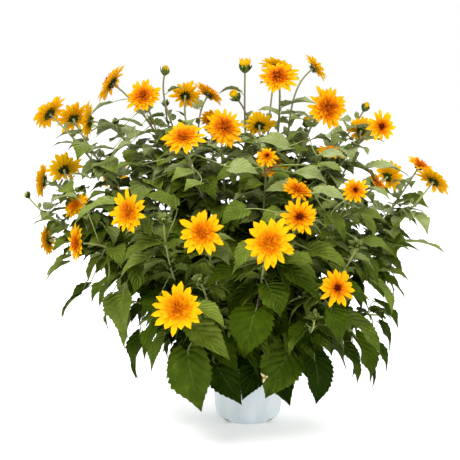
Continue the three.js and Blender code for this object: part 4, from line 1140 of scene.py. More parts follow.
@dataclass(frozen=True)
class LeafFinish(ThinSheet):
    """A sunflower leaf's face: matt and rough, quilted between its paler veins."""

    vein: str
    quilt: float
    glow: str = "#8AA60C"

    def veins(self, node: Callable[..., Socket], place: Socket) -> tuple[Socket, Socket]:
        """The veins, which follow the blade.

        Args:
            node: what adds a node to the material.
            place: the place in the object.

        Returns:
            How much of a vein a place is, and the swelling between the veins.
        """
        own = node("UVMap", uv_map="blade")
        along = node("SeparateXYZ", (own,), "X")
        across = node("Math", (node("SeparateXYZ", (own,), "Y"), 0.5), operation="SUBTRACT")
        doubled = node("Math", (across, 2.0), operation="MULTIPLY")
        aside = node("Math", (doubled,), operation="ABSOLUTE")
        # The midrib tapers to the tip.
        left = node("Math", (1.05, along), operation="SUBTRACT")
        rib = node("Math", (left, 0.055), operation="MULTIPLY")
        midrib = node("MapRange", (aside, rib, 0.0, 0.0, 1.0))
        # Six side veins leave it on each side and bend toward the tip.
        bent = node("Math", (aside, 0.8), operation="POWER")
        slant = node("Math", (bent, 0.36), operation="MULTIPLY")
        stray = node("TexNoise", {"Vector": place, "Scale": 45, "Detail": 2})
        behind = node("Math", (along, slant), operation="SUBTRACT")
        even = node("Math", (behind, 6.5), operation="MULTIPLY")
        run = node("Math", (stray, 0.9, even), operation="MULTIPLY_ADD")
        between = node("Math", (run, 0.5), operation="PINGPONG")
        side = node("MapRange", (between, 0.06, 0.0, 0.0, 0.3))
        vein = node("Math", (midrib, side), operation="MAXIMUM")
        half_turn = node("Math", (between, math.pi), operation="MULTIPLY")
        return vein, node("Math", (half_turn,), operation="SINE")

    def make(self) -> Material:
        """Make the material.

        Returns:
            The material.
        """
        material, node = new_material(self.name)
        spot = node("TexCoord", out="Object")
        vein, between = self.veins(node, spot)
        tone = node("Attribute", out="Fac", attribute_name="tone")
        # Patches of about 20 mm and pores of about 1.5 mm.
        patches = node("TexNoise", {"Vector": spot, "Scale": 50, "Detail": 4})
        pores = node("TexNoise", {"Vector": spot, "Scale": 420, "Detail": 3})
        shift = node("MapRange", {0: patches, 3: -0.22, 4: 0.22})
        share = node("Math", (tone, shift), operation="ADD")
        flesh = node("ValToRGB", (share,), stops=self.shades)
        weight = node("Math", (vein, 0.3), operation="MULTIPLY")
        tint = node("Mix", {0: weight, 6: flesh, 7: colour(self.vein)}, 2, data_type="RGBA")
        swell = node("Math", (patches, 2.8, between), operation="MULTIPLY_ADD")
        swell = node("Math", (pores, 0.25, swell), operation="MULTIPLY_ADD")
        firm = node("MapRange", (tone, 0.3, 1.0, self.quilt, 0.65))
        # A leaf in the light is dustier and downier, and so paler where it is seen at a slant.
        gloss = node("MapRange", (tone, 0.25, 0.9, 0.03, 0.38))
        relief = node("Bump", {"Height": swell, "Strength": firm, "Distance": 0.0027})
        glow = node("Mix", {0: 0.5, 6: tint, 7: colour(self.glow)}, 2, data_type="RGBA")
        face = {"Base Color": tint, "Specular IOR Level": gloss, "Normal": relief}
        self.end(node, face, glow)
        return material


@dataclass(frozen=True)
class StalkFinish:
    """A sunflower's stalk: light green to brownish, ribbed along its length, finely downy."""

    tones: tuple[tuple[float, str], ...] = ((0.0, "#66761F"), (0.5, "#8F9F42"), (1.0, "#6F6B3A"))
    flush: str = "#6B5340"

    def make(self) -> Material:
        """Make the material.

        Returns:
            The material.
        """
        material, node = new_material("ribbed_stalk")
        spot = node("TexCoord", out="Object")
        tone = node("Attribute", out="Fac", attribute_name="tone")
        patches = node("TexNoise", {"Vector": spot, "Scale": 35, "Detail": 3})
        flush = node("MapRange", (patches, 0.52, 0.75))
        green = node("ValToRGB", (tone,), stops=self.tones)
        tint = node("Mix", {0: flush, 6: green, 7: colour(self.flush)}, 2, data_type="RGBA")
        # About ten ribs round the stalk, read from its own map.
        own = {"Vector": node("UVMap", uv_map="blade"), "Scale": 3.2}
        ribs = node("TexWave", own, 1, wave_type="BANDS", bands_direction="Y")
        relief = node("Bump", {"Height": ribs, "Strength": 0.4, "Distance": 0.0005})
        skin = {"Base Color": tint, "Roughness": 0.6, "Normal": relief}
        skin |= {"Sheen Weight": 0.25, "Sheen Roughness": 0.5}
        node("OutputMaterial", (node("BsdfPrincipled", skin),))
        return material


@dataclass(frozen=True)
class PetalFinish(ThinSheet):
    """A ray petal: silky, pleated along its length, yellow at its tip and warmer at its root."""

    roughness: float = 0.55

    def make(self) -> Material:
        """Make the material.

        Returns:
            The material.
        """
        material, node = new_material(self.name)
        own = node("UVMap", uv_map="blade")
        spot = node("TexCoord", out="Object")
        warmth = node("Attribute", out="Fac", attribute_name="tone")
        # Pleats about 1 mm wide run along the petal, and streaks of colour with them.
        waves = {"Vector": own, "Scale": 2.4}
        pleats = node("TexWave", waves, 1, wave_type="BANDS", bands_direction="Y")
        drawn = node("Mapping", {"Vector": own, "Scale": (2.0, 14.0, 1.0)})
        streaks = node("TexNoise", {"Vector": drawn, "Scale": 1, "Detail": 2})
        patches = node("TexNoise", {"Vector": spot, "Scale": 60, "Detail": 2})
        wash = node("Math", (streaks, patches), operation="ADD")
        shift = node("MapRange", (wash, 0.6, 1.4, -0.09, 0.09))
        share = node("Math", (warmth, shift), operation="ADD")
        tint = node("ValToRGB", (share,), stops=self.shades)
        relief = node("Bump", {"Height": pleats, "Strength": 0.35, "Distance": 0.0006})
        face = {"Base Color": tint, "Specular IOR Level": 0.05, "Normal": relief}
        self.end(node, face, tint)
        return material


# The leaves' shades, from dark to pale along the tone: the darkest stand partly for painted shade,
# the palest partly for painted light and sheen.
LEAF_FACE = LeafFinish(
    "leaf_face",
    ((0.0, "#1A2C02"), (0.35, "#465B08"), (0.7, "#7C8D2C"), (1.0, "#A8B276")),
    0.3, 0.5, "#94A05C", 0.9,
)
LEAF_UNDERSIDE = LeafFinish(
    "leaf_underside",
    ((0.0, "#374A0E"), (0.35, "#62742A"), (0.7, "#8A9652"), (1.0, "#A8AE86")),
    0.3, 0.7, "#A8B07C", 0.5,
)
PETAL_FACE = PetalFinish(
    "petal_face",
    (
        (0.0, "#F0D408"), (0.2, "#EFC104"), (0.42, "#EEA102"),
        (0.62, "#E87203"), (0.8, "#CE4407"), (1.0, "#5A140A"),
    ),
    0.5,
)
PETAL_UNDERSIDE = PetalFinish(
    "petal_underside",
    ((0.0, "#FFD412"), (0.3, "#FDBC0C"), (0.6, "#F08C08"), (1.0, "#9A3C0A")),
    0.55,
)
FADED_PETAL = PetalFinish(
    "faded_petal",
    ((0.0, "#E9E3B4"), (0.5, "#DDCB86"), (0.75, "#C58A4A"), (1.0, "#8A4A1E")),
    0.3,
)


class Finishes:
    """The materials of the whole plant, each made once, as lists that go into a piece."""

    def __init__(self) -> None:
        """Make the materials."""
        self.plastic = [PotPlastic().make()]
        self.soil = [PottingSoil().make()]
        self.leaf = [LEAF_FACE.make(), LEAF_UNDERSIDE.make()]
        self.stalk = [StalkFinish().make()]
        self.petal = [PETAL_FACE.make(), PETAL_UNDERSIDE.make()]
        self.faded = [FADED_PETAL.make()] * 2


# Mesh work


class Sheetwork:
    """A bmesh that thin sheets, tubes and small solids are put into, in mm."""

    def __init__(self) -> None:
        """Start with nothing in it."""
        self.bm = bmesh.new()
        self.bm.loops.layers.uv.new("blade")
        self.tone = self.bm.verts.layers.float.new("tone")
        self.seams: list[bmesh.types.BMVert] = []
        self.sheets: dict[float, list[bmesh.types.BMVert]] = {}

    def grid(
        self, along: int, across: int, shape: Shape, tone: Shape | float
    ) -> list[bmesh.types.BMVert]:
        """Put in a grid, bent to a shape.

        Args:
            along: how many faces it has along.
            across: how many it has across.
            shape: the places for shares along (0 to 1) and across (-1 to 1).
            tone: the tone for the same shares, or one for all.

        Returns:
            The grid's corners.
        """
        made = bmesh.ops.create_grid(
            self.bm, x_segments=along, y_segments=across, size=1, calc_uvs=True
        )["verts"]
        flat = np.array([v.co[:2] for v in made])
        u, v = (flat[:, 0] + 1) / 2, flat[:, 1]
        places = shape(u, v).tolist()
        tones = tone(u, v) if callable(tone) else np.full(len(made), tone)
        for corner, place, value in zip(made, places, tones.tolist()):
            corner.co = place
            corner[self.tone] = value
        self.seams += made
        return made

    def sheet(
        self, along: int, across: int, shape: Shape, tone: Shape | float, thickness: float
    ) -> None:
        """Put in a thin pointed sheet, which gets its thickness and underside at the end.

        Args:
            along: how many faces it has along.
            across: how many it has across.
            shape: the places of its upper side, as for a grid. The last row is one point.
            tone: the tone, as for a grid.
            thickness: how thick it is, in mm.
        """
        made = self.grid(along, across, shape, tone)
        self.sheets.setdefault(thickness, []).extend(made)

    def close(self) -> None:
        """Close tips and seams, and give the sheets their thickness and second material."""
        bmesh.ops.remove_doubles(self.bm, verts=self.seams, dist=1e-4)
        for thickness, corners in self.sheets.items():
            faces = list(dict.fromkeys(f for v in corners if v.is_valid for f in v.link_faces))
            for face in faces:
                face.normal_update()
                for edge in face.edges:
                    edge.smooth = not edge.is_boundary
            shell = bmesh.ops.solidify(self.bm, geom=faces, thickness=thickness)["geom"]
            for face in shell:
                if isinstance(face, bmesh.types.BMFace):
                    face.material_index = 1

    def spin(self, profile: Sequence[tuple[float, float]], steps: int) -> None:
        """Put in a body that is round about the upright.

        Args:
            profile: the radius and height of its outline's corners, in mm.
            steps: how many steps it turns in.
        """
        corners = [self.bm.verts.new((r, 0, z)) for r, z in profile]
        edges = [self.bm.edges.new(pair) for pair in zip(corners, corners[1:])]
        bmesh.ops.spin(
            self.bm, geom=corners + edges, cent=(0, 0, 0), axis=(0, 0, 1), angle=2 * math.pi,
            steps=steps, use_merge=True, use_duplicate=False,
        )
        bmesh.ops.remove_doubles(self.bm, verts=self.bm.verts, dist=1e-3)
        bmesh.ops.recalc_face_normals(self.bm, faces=self.bm.faces)

    def tube(self, path: Array, radii: Array, sides: int, tones: Share) -> None:
        """Put in a tube whose ends close to a point.

        Args:
            path: the places along its middle, in mm.
            radii: its radius at each.
            sides: how many sides it has.
            tones: the tone at each, or one for all.
        """
        runs = np.gradient(path, axis=0)
        runs /= np.linalg.norm(runs, axis=1)[:, None]
        across = cross(runs[0], UP if abs(runs[0][2]) < 0.9 else np.array([1.0, 0, 0]))
        frames = []
        for run in runs:
            across = unit(across - run * float(across @ run))
            frames.append((across, cross(run, across)))
        ones, others = (np.array([f[i] for f in frames]) for i in (0, 1))
        ends = len(path) - 1
        widths = np.concatenate([[0.0], radii[1:-1], [0.0]])
        tones = np.broadcast_to(tones, len(path))

        def rolled(u: Array, v: Array) -> Array:
            """The places round the path.

            Args:
                u: shares along it, from 0 to 1.
                v: shares round it, from -1 to 1.

            Returns:
                One place a row.
            """
            k = np.rint(u * ends).astype(int)
            a = (math.pi * (v + 1))[:, None]
            return path[k] + widths[k][:, None] * (np.cos(a) * ones[k] + np.sin(a) * others[k])

        self.grid(ends, sides, rolled, lambda u, v: tones[np.rint(u * ends).astype(int)])

    def spike(self, foot: Array, way: Array, half: float, length: float, tone: float) -> None:
        """Put in a hair or a floret: a three-sided cone.

        Args:
            foot: where it stands, in mm.
            way: the way that it points.
            half: how thick it is at its foot.
            length: how long it is.
            tone: its tone.
        """
        aside = unit(cross(way, UP + 0.01))
        columns = [aside, cross(way, aside), way, foot + way * (length / 2)]
        turned = Matrix(np.column_stack(columns).tolist())
        turned.resize_4x4()
        made = bmesh.ops.create_cone(
            self.bm, cap_ends=True, segments=3, radius1=half, radius2=0, depth=length, matrix=turned
        )["verts"]
        for corner in made:
            corner[self.tone] = tone

    def keep_inside(self, margin: float = 20.0) -> None:
        """Press what sticks out of the solids' box back into it.

        Args:
            margin: how far before the box's side the pressing starts, in mm.
        """
        places = np.array([corner.co for corner in self.bm.verts])
        pressed = places.copy()
        for sign, limit in ((1, PIECE_BOX[1]), (-1, PIECE_BOX[0])):
            over = (sign * (places - limit)).max(axis=0)
            into = sign * (places - limit) + margin
            shift = np.clip(into, 0, None) * (over / (margin + over))
            pressed -= np.where(over > 0, sign * shift, 0)
        if np.any(pressed != places):
            for corner, place in zip(self.bm.verts, pressed.tolist()):
                corner.co = place

    def finish(self, name: str, materials: Sequence[Material], slot: str, *nodes: str) -> Piece:
        """Make the bmesh one piece of the plant.

        Args:
            name: the piece's name.
            materials: its materials, in the order of its faces' numbers.
            slot: the record's material slot, which is not used.
            nodes: the solids that it stands for.

        Returns:
            The piece.
        """
        self.close()
        self.keep_inside()
        bmesh.ops.scale(self.bm, vec=Vector((METRES,) * 3), verts=self.bm.verts)
        for face in self.bm.faces:
            face.smooth = True
        mesh = bpy.data.meshes.new(name)
        self.bm.to_mesh(mesh)
        self.bm.free()
        for material in materials:
            mesh.materials.append(material)
        piece = bpy.data.objects.new(name, mesh)
        bpy.context.collection.objects.link(piece)
        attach(piece, "root")
        if nodes:
            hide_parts(*nodes)
        mesh.calc_loop_triangles()
        LOG.info("%s: %d triangles", name, len(mesh.loop_triangles))
        return piece


# Pieces


@dataclass
class Pot:
    """The thin nursery pot: spun wall, rim band and notched foot."""

    finishes: Finishes
    steps: int = 144
    notch_half: float = 7.0
    notch_height: float = 5.0
    panel_relief: float = 0.7
    panel_half: float = 10.0
    sharp_edge: float = 50.0

    def profile(self) -> list[tuple[float, float]]:
        """The wall's outline from the middle of the underside round to the middle of the floor.

        Returns:
            The radius and height of each of its corners, in mm.
        """
        foot, rim, corner = POT_FOOT_RADIUS, POT_RIM_RADIUS, POT_CORNER_HEIGHT
        band, lining = POT_HEIGHT - POT_RIM_BAND, POT_RIM_RADIUS - POT_WALL
        body = [
            (mix(POT_BODY_RADIUS, POT_MOUTH_RADIUS, k / 8), mix(corner, band, k / 8))
            for k in range(9)
        ]
        outer = [
            (0.0, 2.2), (foot - 8, 2.2), (foot - 4, 0.0), (foot, 0.0), (foot + 4, 1.5),
            (foot + 8, corner * 0.35), (foot + 10.8, corner * 0.68), *body,
            (rim - 1.0, band + 0.4), (rim - 0.5, band + 1.5), (rim - 0.1, POT_HEIGHT - 1.2),
            (rim - 0.9, POT_HEIGHT),
        ]
        inner = [
            (lining, POT_HEIGHT - 0.5), (lining - 0.5, band + 2.5),
            (POT_MOUTH_RADIUS - POT_WALL, band), (POT_BODY_RADIUS - POT_WALL, corner),
            (foot, 3.6), (0.0, 3.6),
        ]
        return outer + inner

    def build(self) -> Piece:
        """Build the pot in place of its solid.

        Returns:
            The pot's piece.
        """
        work = Sheetwork()
        work.spin(self.profile(), self.steps)
        for corner in work.bm.verts:
            corner[work.tone] = 1.0
        self.shape_foot(work)
        for edge in work.bm.edges:
            if edge.calc_face_angle(0.0) > math.radians(self.sharp_edge):
                edge.smooth = False
        return work.finish("pot_wall", self.finishes.plastic, "pot_plastic", "pot")

    def shape_foot(self, work: Sheetwork) -> None:
        """Cut the notches into the foot, mark them for painted shade, and raise the arched panels
        above it.

        Args:
            work: the pot's mesh.
        """
        for corner in work.bm.verts:
            radius = math.hypot(corner.co.x, corner.co.y)
            if radius < POT_FOOT_RADIUS - 5:
                continue
            angle = math.degrees(math.atan2(corner.co.y, corner.co.x))
            off = (angle % 90) - 45
            arc = abs(math.radians(off)) * radius
            if corner.co.z < self.notch_height and arc < self.notch_half:
                lift = math.sqrt(max(0.0, 1 - (arc / self.notch_half) ** 4))
                corner.co.z = mix(corner.co.z, self.notch_height, lift)
                # Tone 0 marks the notch for painted shade: the plastic turns dark grey here,
                # standing in for the shadow under the lifted edge.
                corner[work.tone] = 0.0
            panel = abs(((angle + 15) % 30) - 15)
            top = 16 + 24 * math.sqrt(max(0.0, 1 - (panel / self.panel_half) ** 2))
            inside = panel < self.panel_half and POT_CORNER_HEIGHT < corner.co.z < top
            if inside and radius > POT_BODY_RADIUS - 0.2:
                corner.co.x *= 1 + self.panel_relief / radius
                corner.co.y *= 1 + self.panel_relief / radius


@dataclass
class Soil:
    """The potting soil: a crumbly bed just below the rim."""

    finishes: Finishes
    radius: float = 71.8
    rings: int = 26
    steps: int = 96
    roughness: float = 2.2
    depth: float = 2.5

    def build(self) -> Piece:
        """Build the soil in place of its solid.

        Returns:
            The soil's piece.
        """
        work = Sheetwork()
        top = SOIL_LEVEL - self.depth
        profile = [(self.radius * k / self.rings, top) for k in range(self.rings + 1)]
        profile += [(self.radius - 0.6, SOIL_LEVEL - 8), (64, 17), (50, 4.2), (0, 4.2)]
        work.spin(profile, self.steps)
        for corner in work.bm.verts:
            if corner.co.z > SOIL_LEVEL - 4:
                rough = noise.fractal(corner.co * 0.16, 0.7, 2.2, 4)
                corner.co.z += max(-1.0, min(1.0, rough)) * self.roughness
        return work.finish("soil_bed", self.finishes.soil, "potting_soil", "soil")


@dataclass
class LeafMaker:
    """Gives a laid-out leaf its serrated blade and its own curved stalk.

    `fineness` gives, for blades longer than a length, their faces along and across. The tone grows
    over `height` from `low` up and over `out` from the middle by the shares that follow them, which
    is painted light high up and far out and painted shade low and deep in, besides the leaves' age.
    `swing`, `curl` and `swell` are shares of the blade's length, and `into` and `away` say how far
    the leaf's own stalk is led on at its ends.
    """

    thickness: float = 0.5
    sinus: float = 0.015
    tooth: float = 0.09
    between_teeth: float = 0.97
    taper: float = 0.32
    fineness: tuple[tuple[int, ...], ...] = ((74, 18, 6), (50, 14, 4), (32, 10, 4), (0, 6, 2))
    finest: tuple[int, int] = (24, 8)
    low: float = 150.0
    # The paling with height and with distance from the middle is painted light and sheen, and the
    # darkness low and deep in is painted shade, partly also the leaves' age.
    height: float = 450.0
    height_tone: float = 0.76
    out: float = 330.0
    out_light_tone: float = 0.14
    young_length: float = 30.0
    young_tone: float = 0.2
    uneven_tone: float = 0.27
    swing: float = 0.03
    curl: tuple[float, float] = (0.0, 0.07)
    swell: tuple[float, float] = (0.012, 0.028)
    beat: tuple[float, float] = (6.0, 10.0)
    edge_wave: tuple[float, float] = (0.06, 0.16)
    into: float = 0.16
    away: float = 0.3
    petiole_sides: int = 6
    petiole_radius: float = 0.55
    petiole_swell: float = 0.0075
    petiole_step: float = 7.0
    rib_share: float = 0.2
    rib_depth: float = 0.7
    palest: float = 0.86

    def counts(self, leaf: Leaf) -> tuple[int, int]:
        """How many faces a blade has, by its length.

        Args:
            leaf: the leaf.

        Returns:
            How many along it and across it.
        """
        if leaf.leading and leaf.length > self.fineness[0][0]:
            return self.finest
        return next((u, v) for least, u, v in self.fineness if leaf.length > least)

    def tone(self, leaf: Leaf, draw: Draw) -> float:
        """How pale a leaf is, from its height and how far out it stands.

        Args:
            leaf: the leaf.
            draw: the numbers that vary it.

        Returns:
            Its tone.
        """
        x, y, z = leaf.base
        height = min(1.0, max(0.0, (z - self.low) / self.height))
        out = min(1.0, math.hypot(x, y) / self.out)
        young = self.young_tone if leaf.length < self.young_length else 0.0
        # Painted light and painted shade: leaves high up and far out are paler, those low and deep
        # in darker.
        share = 0.02 + self.height_tone * height + self.out_light_tone * out + young
        return min(self.palest, share + draw.between(-self.uneven_tone, self.uneven_tone))

    def add_blade(self, work: Sheetwork, leaf: Leaf, draw: Draw) -> None:
        """Put a leaf's blade in.

        Args:
            work: where it goes.
            leaf: the leaf.
            draw: the numbers that vary it.
        """
        rows, columns = self.counts(leaf)
        swing = draw.between(-1, 1) * leaf.length * self.swing
        curl = draw.between(*self.curl) * leaf.length
        swell = leaf.length * draw.between(*self.swell)
        beat = draw.between(*self.beat)
        wave = max(leaf.wave, draw.between(*self.edge_wave))

        def shape(s: Array, v: Array) -> Array:
            """The places of the blade's face.

            Args:
                s: shares along the blade, from 0 to 1.
                v: shares across it, from -1 to 1.

            Returns:
                One place a row.
            """
            row = np.rint(s * rows)
            edge = np.abs(v) > 0.99
            odd = (row % 2 == 1) & edge
            u = self.sinus + (1 - self.sinus) * s**1.2
            u = np.where(odd, np.minimum(1.0, u + 0.55 / rows), u)
            reach = np.where(odd, 1 + self.tooth, np.where(edge, self.between_teeth, 1.0))
            reach = reach * (1 - self.taper * held((u - 0.5) / 0.4))
            places = leaf.blade(u, v * reach, wave)
            ripple = swell * np.sin(beat * u * 2 + leaf.phase + 2.2 * np.abs(v))
            ripple *= np.abs(v) * blade_share(held(u))
            lift = ripple - curl * np.maximum(0, u - 0.45) ** 2 * 2.2
            places = places + lift[:, None] * leaf.up(u)
            return places + (swing * u**2)[:, None] * leaf.side

        work.sheet(rows, columns, shape, self.tone(leaf, draw), self.thickness)

    def add_petiole(self, work: Sheetwork, leaf: Leaf) -> None:
        """Put a leaf's own stalk in, from the stalk to the midrib.

        Args:
            work: where it goes.
            leaf: the leaf.
        """
        root = leaf.stalk.curve.at(leaf.t)
        span = leaf.base - root
        reach = float(np.linalg.norm(span))
        way = span / reach
        into = leaf.base - (leaf.ahead * self.into + way * self.into) * reach
        out = root + (way * self.away + UP * 0.05) * reach
        share = np.array([self.rib_share])
        rib = leaf.blade(share, np.array([0.0]), leaf.wave)[0] - leaf.up(share)[0] * self.rib_depth
        steps = max(5, min(10, round(reach / self.petiole_step)))
        line = Curve((root, out, into, leaf.base)).at(np.linspace(0, 1, steps))
        thick = self.petiole_radius + leaf.length * self.petiole_swell
        radii = np.linspace(thick * 1.15, thick * 0.85, steps + 1)
        tone = 0.05 + 0.35 * min(1.0, max(0.0, (leaf.base[2] - self.low) / 430))
        work.tube(np.vstack([line, rib]), radii, self.petiole_sides, tone)


@dataclass
class LeafyStem:
    """One leafy stem: its stalks and buds' cores in one piece, its leaves, bract cups and buds'
    bracts in another, and an opening bud's petals in a third.

    An end narrower than `shoot_tip` is the tip of a shoot, and a bud as wide as `opening` opens.
    `flare` is a stalk's swelling under a bloom as a share of the bloom's width. The cup's rounds
    give the number of bracts, their reach as a share of the bloom's radius and how low they stand.
    """

    stem: GrownStem
    finishes: Finishes
    maker: LeafMaker = field(default_factory=LeafMaker)
    opening: float = 15.0
    shoot_tip: float = 12.4
    main_sides: int = 10
    shoot_sides: int = 8
    stalk_step: float = 11.0
    foot_depth: float = 8.0
    foot_swell: float = 1.25
    neck_radius: float = 3.2
    flare: float = 0.085
    flare_tone: float = 0.45
    cup_rounds: tuple[tuple[int, float, float], ...] = ((10, 0.37, -1.2), (9, 0.29, -2.4))
    tip_leaves: int = 9
    outer_tip_leaves: int = 5
    bud_petals: int = 11
    bract_thickness: float = 0.35
    hair_spacing: float = 4.0
    hair_radius: float = 0.16

    def __post_init__(self) -> None:
        """Start the draw and the pieces."""
        self.draw = Draw(STEM_SEED + STEM_SEED_STEP * self.stem.stalks[0].owner)
        self.stalks, self.blades, self.petals = Sheetwork(), Sheetwork(), Sheetwork()

    def build(self) -> None:
        """Build the pieces in place of the stem's solid."""
        name = self.stem.plan.name
        node = "leafy_stem_" + name
        for stalk in self.stem.stalks:
            self.add_stalk(stalk)
            self.add_down(stalk)
            if stalk.bud:
                self.add_bud(stalk.end)
                if stalk.end.width >= self.opening:
                    self.add_bud_petals(stalk.end)
            else:
                self.add_cup(stalk.end)
        for leaf in self.stem.leaves:
            self.maker.add_blade(self.blades, leaf, self.draw)
            self.maker.add_petiole(self.stalks, leaf)
        self.stalks.finish("stalks_" + name, self.finishes.stalk, "foliage", node)
        self.blades.finish("leaves_" + name, self.finishes.leaf, "foliage", node)
        if self.petals.sheets:
            self.petals.finish("bud_petals_" + name, self.finishes.petal, "petals")

    def add_stalk(self, stalk: Stalk) -> None:
        """Put a stalk in, as a smooth tube that swells under a bloom.

        Args:
            stalk: the stalk.
        """
        main = stalk is self.stem.stalks[0]
        steps = max(12, round(stalk.curve.length() / self.stalk_step))
        shares = np.linspace(0, 1, steps + 1)
        path = stalk.curve.at(shares)
        radii = mix(stalk.radius, NECK_RADIUS, shares)
        tones = 0.2 + 0.75 * held((path[:, 2] - 120) / 480)
        at = HeadFrame(stalk.end)
        if main:
            foot = path[0] * np.array([1, 1, 0]) + UP * (SOIL_LEVEL - self.foot_depth)
            path = np.vstack([foot, path])
            radii = np.append(radii[0] * self.foot_swell, radii)
            tones = np.append(tones[0], tones)
        if stalk.bud:
            path = np.vstack([path, at.place(0, 0, stalk.end.width * 0.4)])
            radii = np.append(radii, radii[-1])
            tones = np.append(tones, tones[-1])
        else:
            radii[-1] = self.neck_radius
            flare = stalk.end.width * self.flare
            path = np.vstack([path, at.neck + at.axis * 2.2, at.neck + at.axis * 3.4])
            radii = np.append(radii, [flare, flare])
            tones = np.append(tones, [self.flare_tone] * 2)
        self.stalks.tube(path, radii, self.main_sides if main else self.shoot_sides, tones)

    def add_bract(
        self,
        work: Sheetwork,
        at: HeadFrame,
        angle: float,
        line: Sequence[tuple[float, float]],
        width: float,
        tone: float,
    ) -> None:
        """Put in one pointed bract behind a head.

        Args:
            work: where it goes.
            at: the head's frame.
            angle: where it stands round the axis.
            line: its distance from the axis and its height at its root, middle and tip.
            width: its width in mm.
            tone: how pale it is.
        """
        (r0, h0), (r1, h1), (r2, h2) = line

        def shape(u: Array, v: Array) -> Array:
            """The places of the bract's outer side.

            Args:
                u: shares along the bract, from 0 to 1.
                v: shares across it, from -1 to 1.

            Returns:
                One place a row.
            """
            k = 1 - u
            radius = k * k * r0 + 2 * k * u * r1 + u * u * r2
            height = k * k * h0 + 2 * k * u * h1 + u * u * h2
            half = width / 2 * np.sqrt(held(1 - u)) * (0.7 + 0.9 * u * k)
            turn = angle + v * half / np.maximum(radius, 1.5)
            return at.place(radius + np.abs(v) * 0.3, turn, height)

        work.sheet(4, 2, shape, tone, self.bract_thickness)

    def add_cup(self, head: Head) -> None:
        """Put in the green cup behind a bloom: two rounds of bracts.

        Args:
            head: the bloom.
        """
        at, radius, between = HeadFrame(head), head.width / 2, self.draw.between
        for count, reach, drop in self.cup_rounds:
            for k in range(count):
                angle = 2 * math.pi * (k + between(-0.2, 0.2) + drop) / count
                out = radius * reach * between(0.85, 1.15)
                tip = drop + between(-2.5, 1.2)
                line = ((2.4, -2.0), (out * 0.55, drop - 1.0), (out, tip))
                self.add_bract(self.blades, at, angle, line, radius * 0.2, between(0.1, 0.4))

    def add_bud(self, head: Head) -> None:
        """Put in a closed bud, or the small folded leaves at the tip of a young shoot.

        Args:
            head: the bud or tip.
        """
        at, radius, between = HeadFrame(head), head.width / 2, self.draw.between
        shares = np.linspace(0, 1, 9)
        path = at.neck + np.outer(shares * radius * 1.9, at.axis)
        radii = radius * 0.92 * np.sin(np.pi * held(shares * 0.86 + 0.1)) ** 0.7
        self.stalks.tube(path, radii, self.shoot_sides, 0.55)
        if head.width < self.shoot_tip:
            self.add_tip_leaves(at, radius)
        count = 7 if head.width > self.shoot_tip else 5
        for ring in range(2):
            for k in range(count):
                angle = 2 * math.pi * (k + 0.5 * ring + between(-0.15, 0.15)) / count
                belly = radius * between(1.25, 1.5)
                top = radius * mix(1.7, 2.2, ring) * between(0.9, 1.15)
                if head.width > self.opening:
                    top *= 0.75
                tip = radius * mix(1.1, 0.5, ring) * between(0.8, 1.4)
                line = ((radius * 0.4, -0.5), (belly, radius * 0.8), (tip, top))
                self.add_bract(self.blades, at, angle, line, radius * 0.95, between(0.3, 0.7))

    def add_tip_leaves(self, at: HeadFrame, radius: float) -> None:
        """Put in the small leaves that spread round the tip of a young shoot.

        Args:
            at: the tip's frame.
            radius: how thick the tip is, in mm.
        """
        between = self.draw.between
        for k in range(self.tip_leaves):
            outer = k < self.outer_tip_leaves
            angle = 2 * math.pi * (k * 0.382 + between(-0.05, 0.05))
            out = radius * between(2.6, 3.8) * (1.0 if outer else 0.6)
            top = radius * (between(0.2, 1.6) if outer else between(2.0, 3.2))
            line = ((1.2, -2.0), (out * 0.6, top + radius * 0.5), (out, top))
            self.add_bract(self.blades, at, angle, line, radius * 1.9, between(0.4, 0.75))

    def add_bud_petals(self, head: Head) -> None:
        """Put in the petals that show in a bud that is about to open.

        Args:
            head: the bud.
        """
        at, radius, between = HeadFrame(head), head.width / 2, self.draw.between
        spread = mix(0.35, 1.15, (head.width - self.opening) / 7)
        for k in range(self.bud_petals):
            angle = 2 * math.pi * (k + between(-0.2, 0.2)) / self.bud_petals
            top = radius * between(2.3, 2.7)
            tip = radius * spread * between(0.7, 1.1)
            line = ((radius * 0.4, radius * 0.8), (radius * 1.15, radius * 1.5), (tip, top))
            self.add_bract(self.petals, at, angle, line, radius * 1.25, between(-0.2, 0.1))

    def add_down(self, stalk: Stalk) -> None:
        """Put in the short stiff hairs on the upper half of a stalk.

        Args:
            stalk: the stalk.
        """
        between = self.draw.between
        for _ in range(round(stalk.curve.length() / self.hair_spacing)):
            t = between(0.45, 0.97)
            run = stalk.curve.tangent(t)
            across = unit(cross(run, np.array([between(-1, 1), between(-1, 1), 0.3])))
            way = unit(across + run * between(-0.2, 0.4))
            radius, length = mix(stalk.radius, NECK_RADIUS, t), between(1.4, 2.6)
            foot = stalk.curve.at(t) + across * radius * 0.9
            self.stalks.spike(foot, way, self.hair_radius, length, 0.9)


@dataclass(frozen=True)
class PetalRound:
    """One round of petals, in shares of the bloom's radius and in mm of height."""

    count: int
    root: float
    reach: tuple[float, float]
    half_width: float
    height: float
    rise: float
    warmth: float
    flush: float
    rows: int
    columns: int


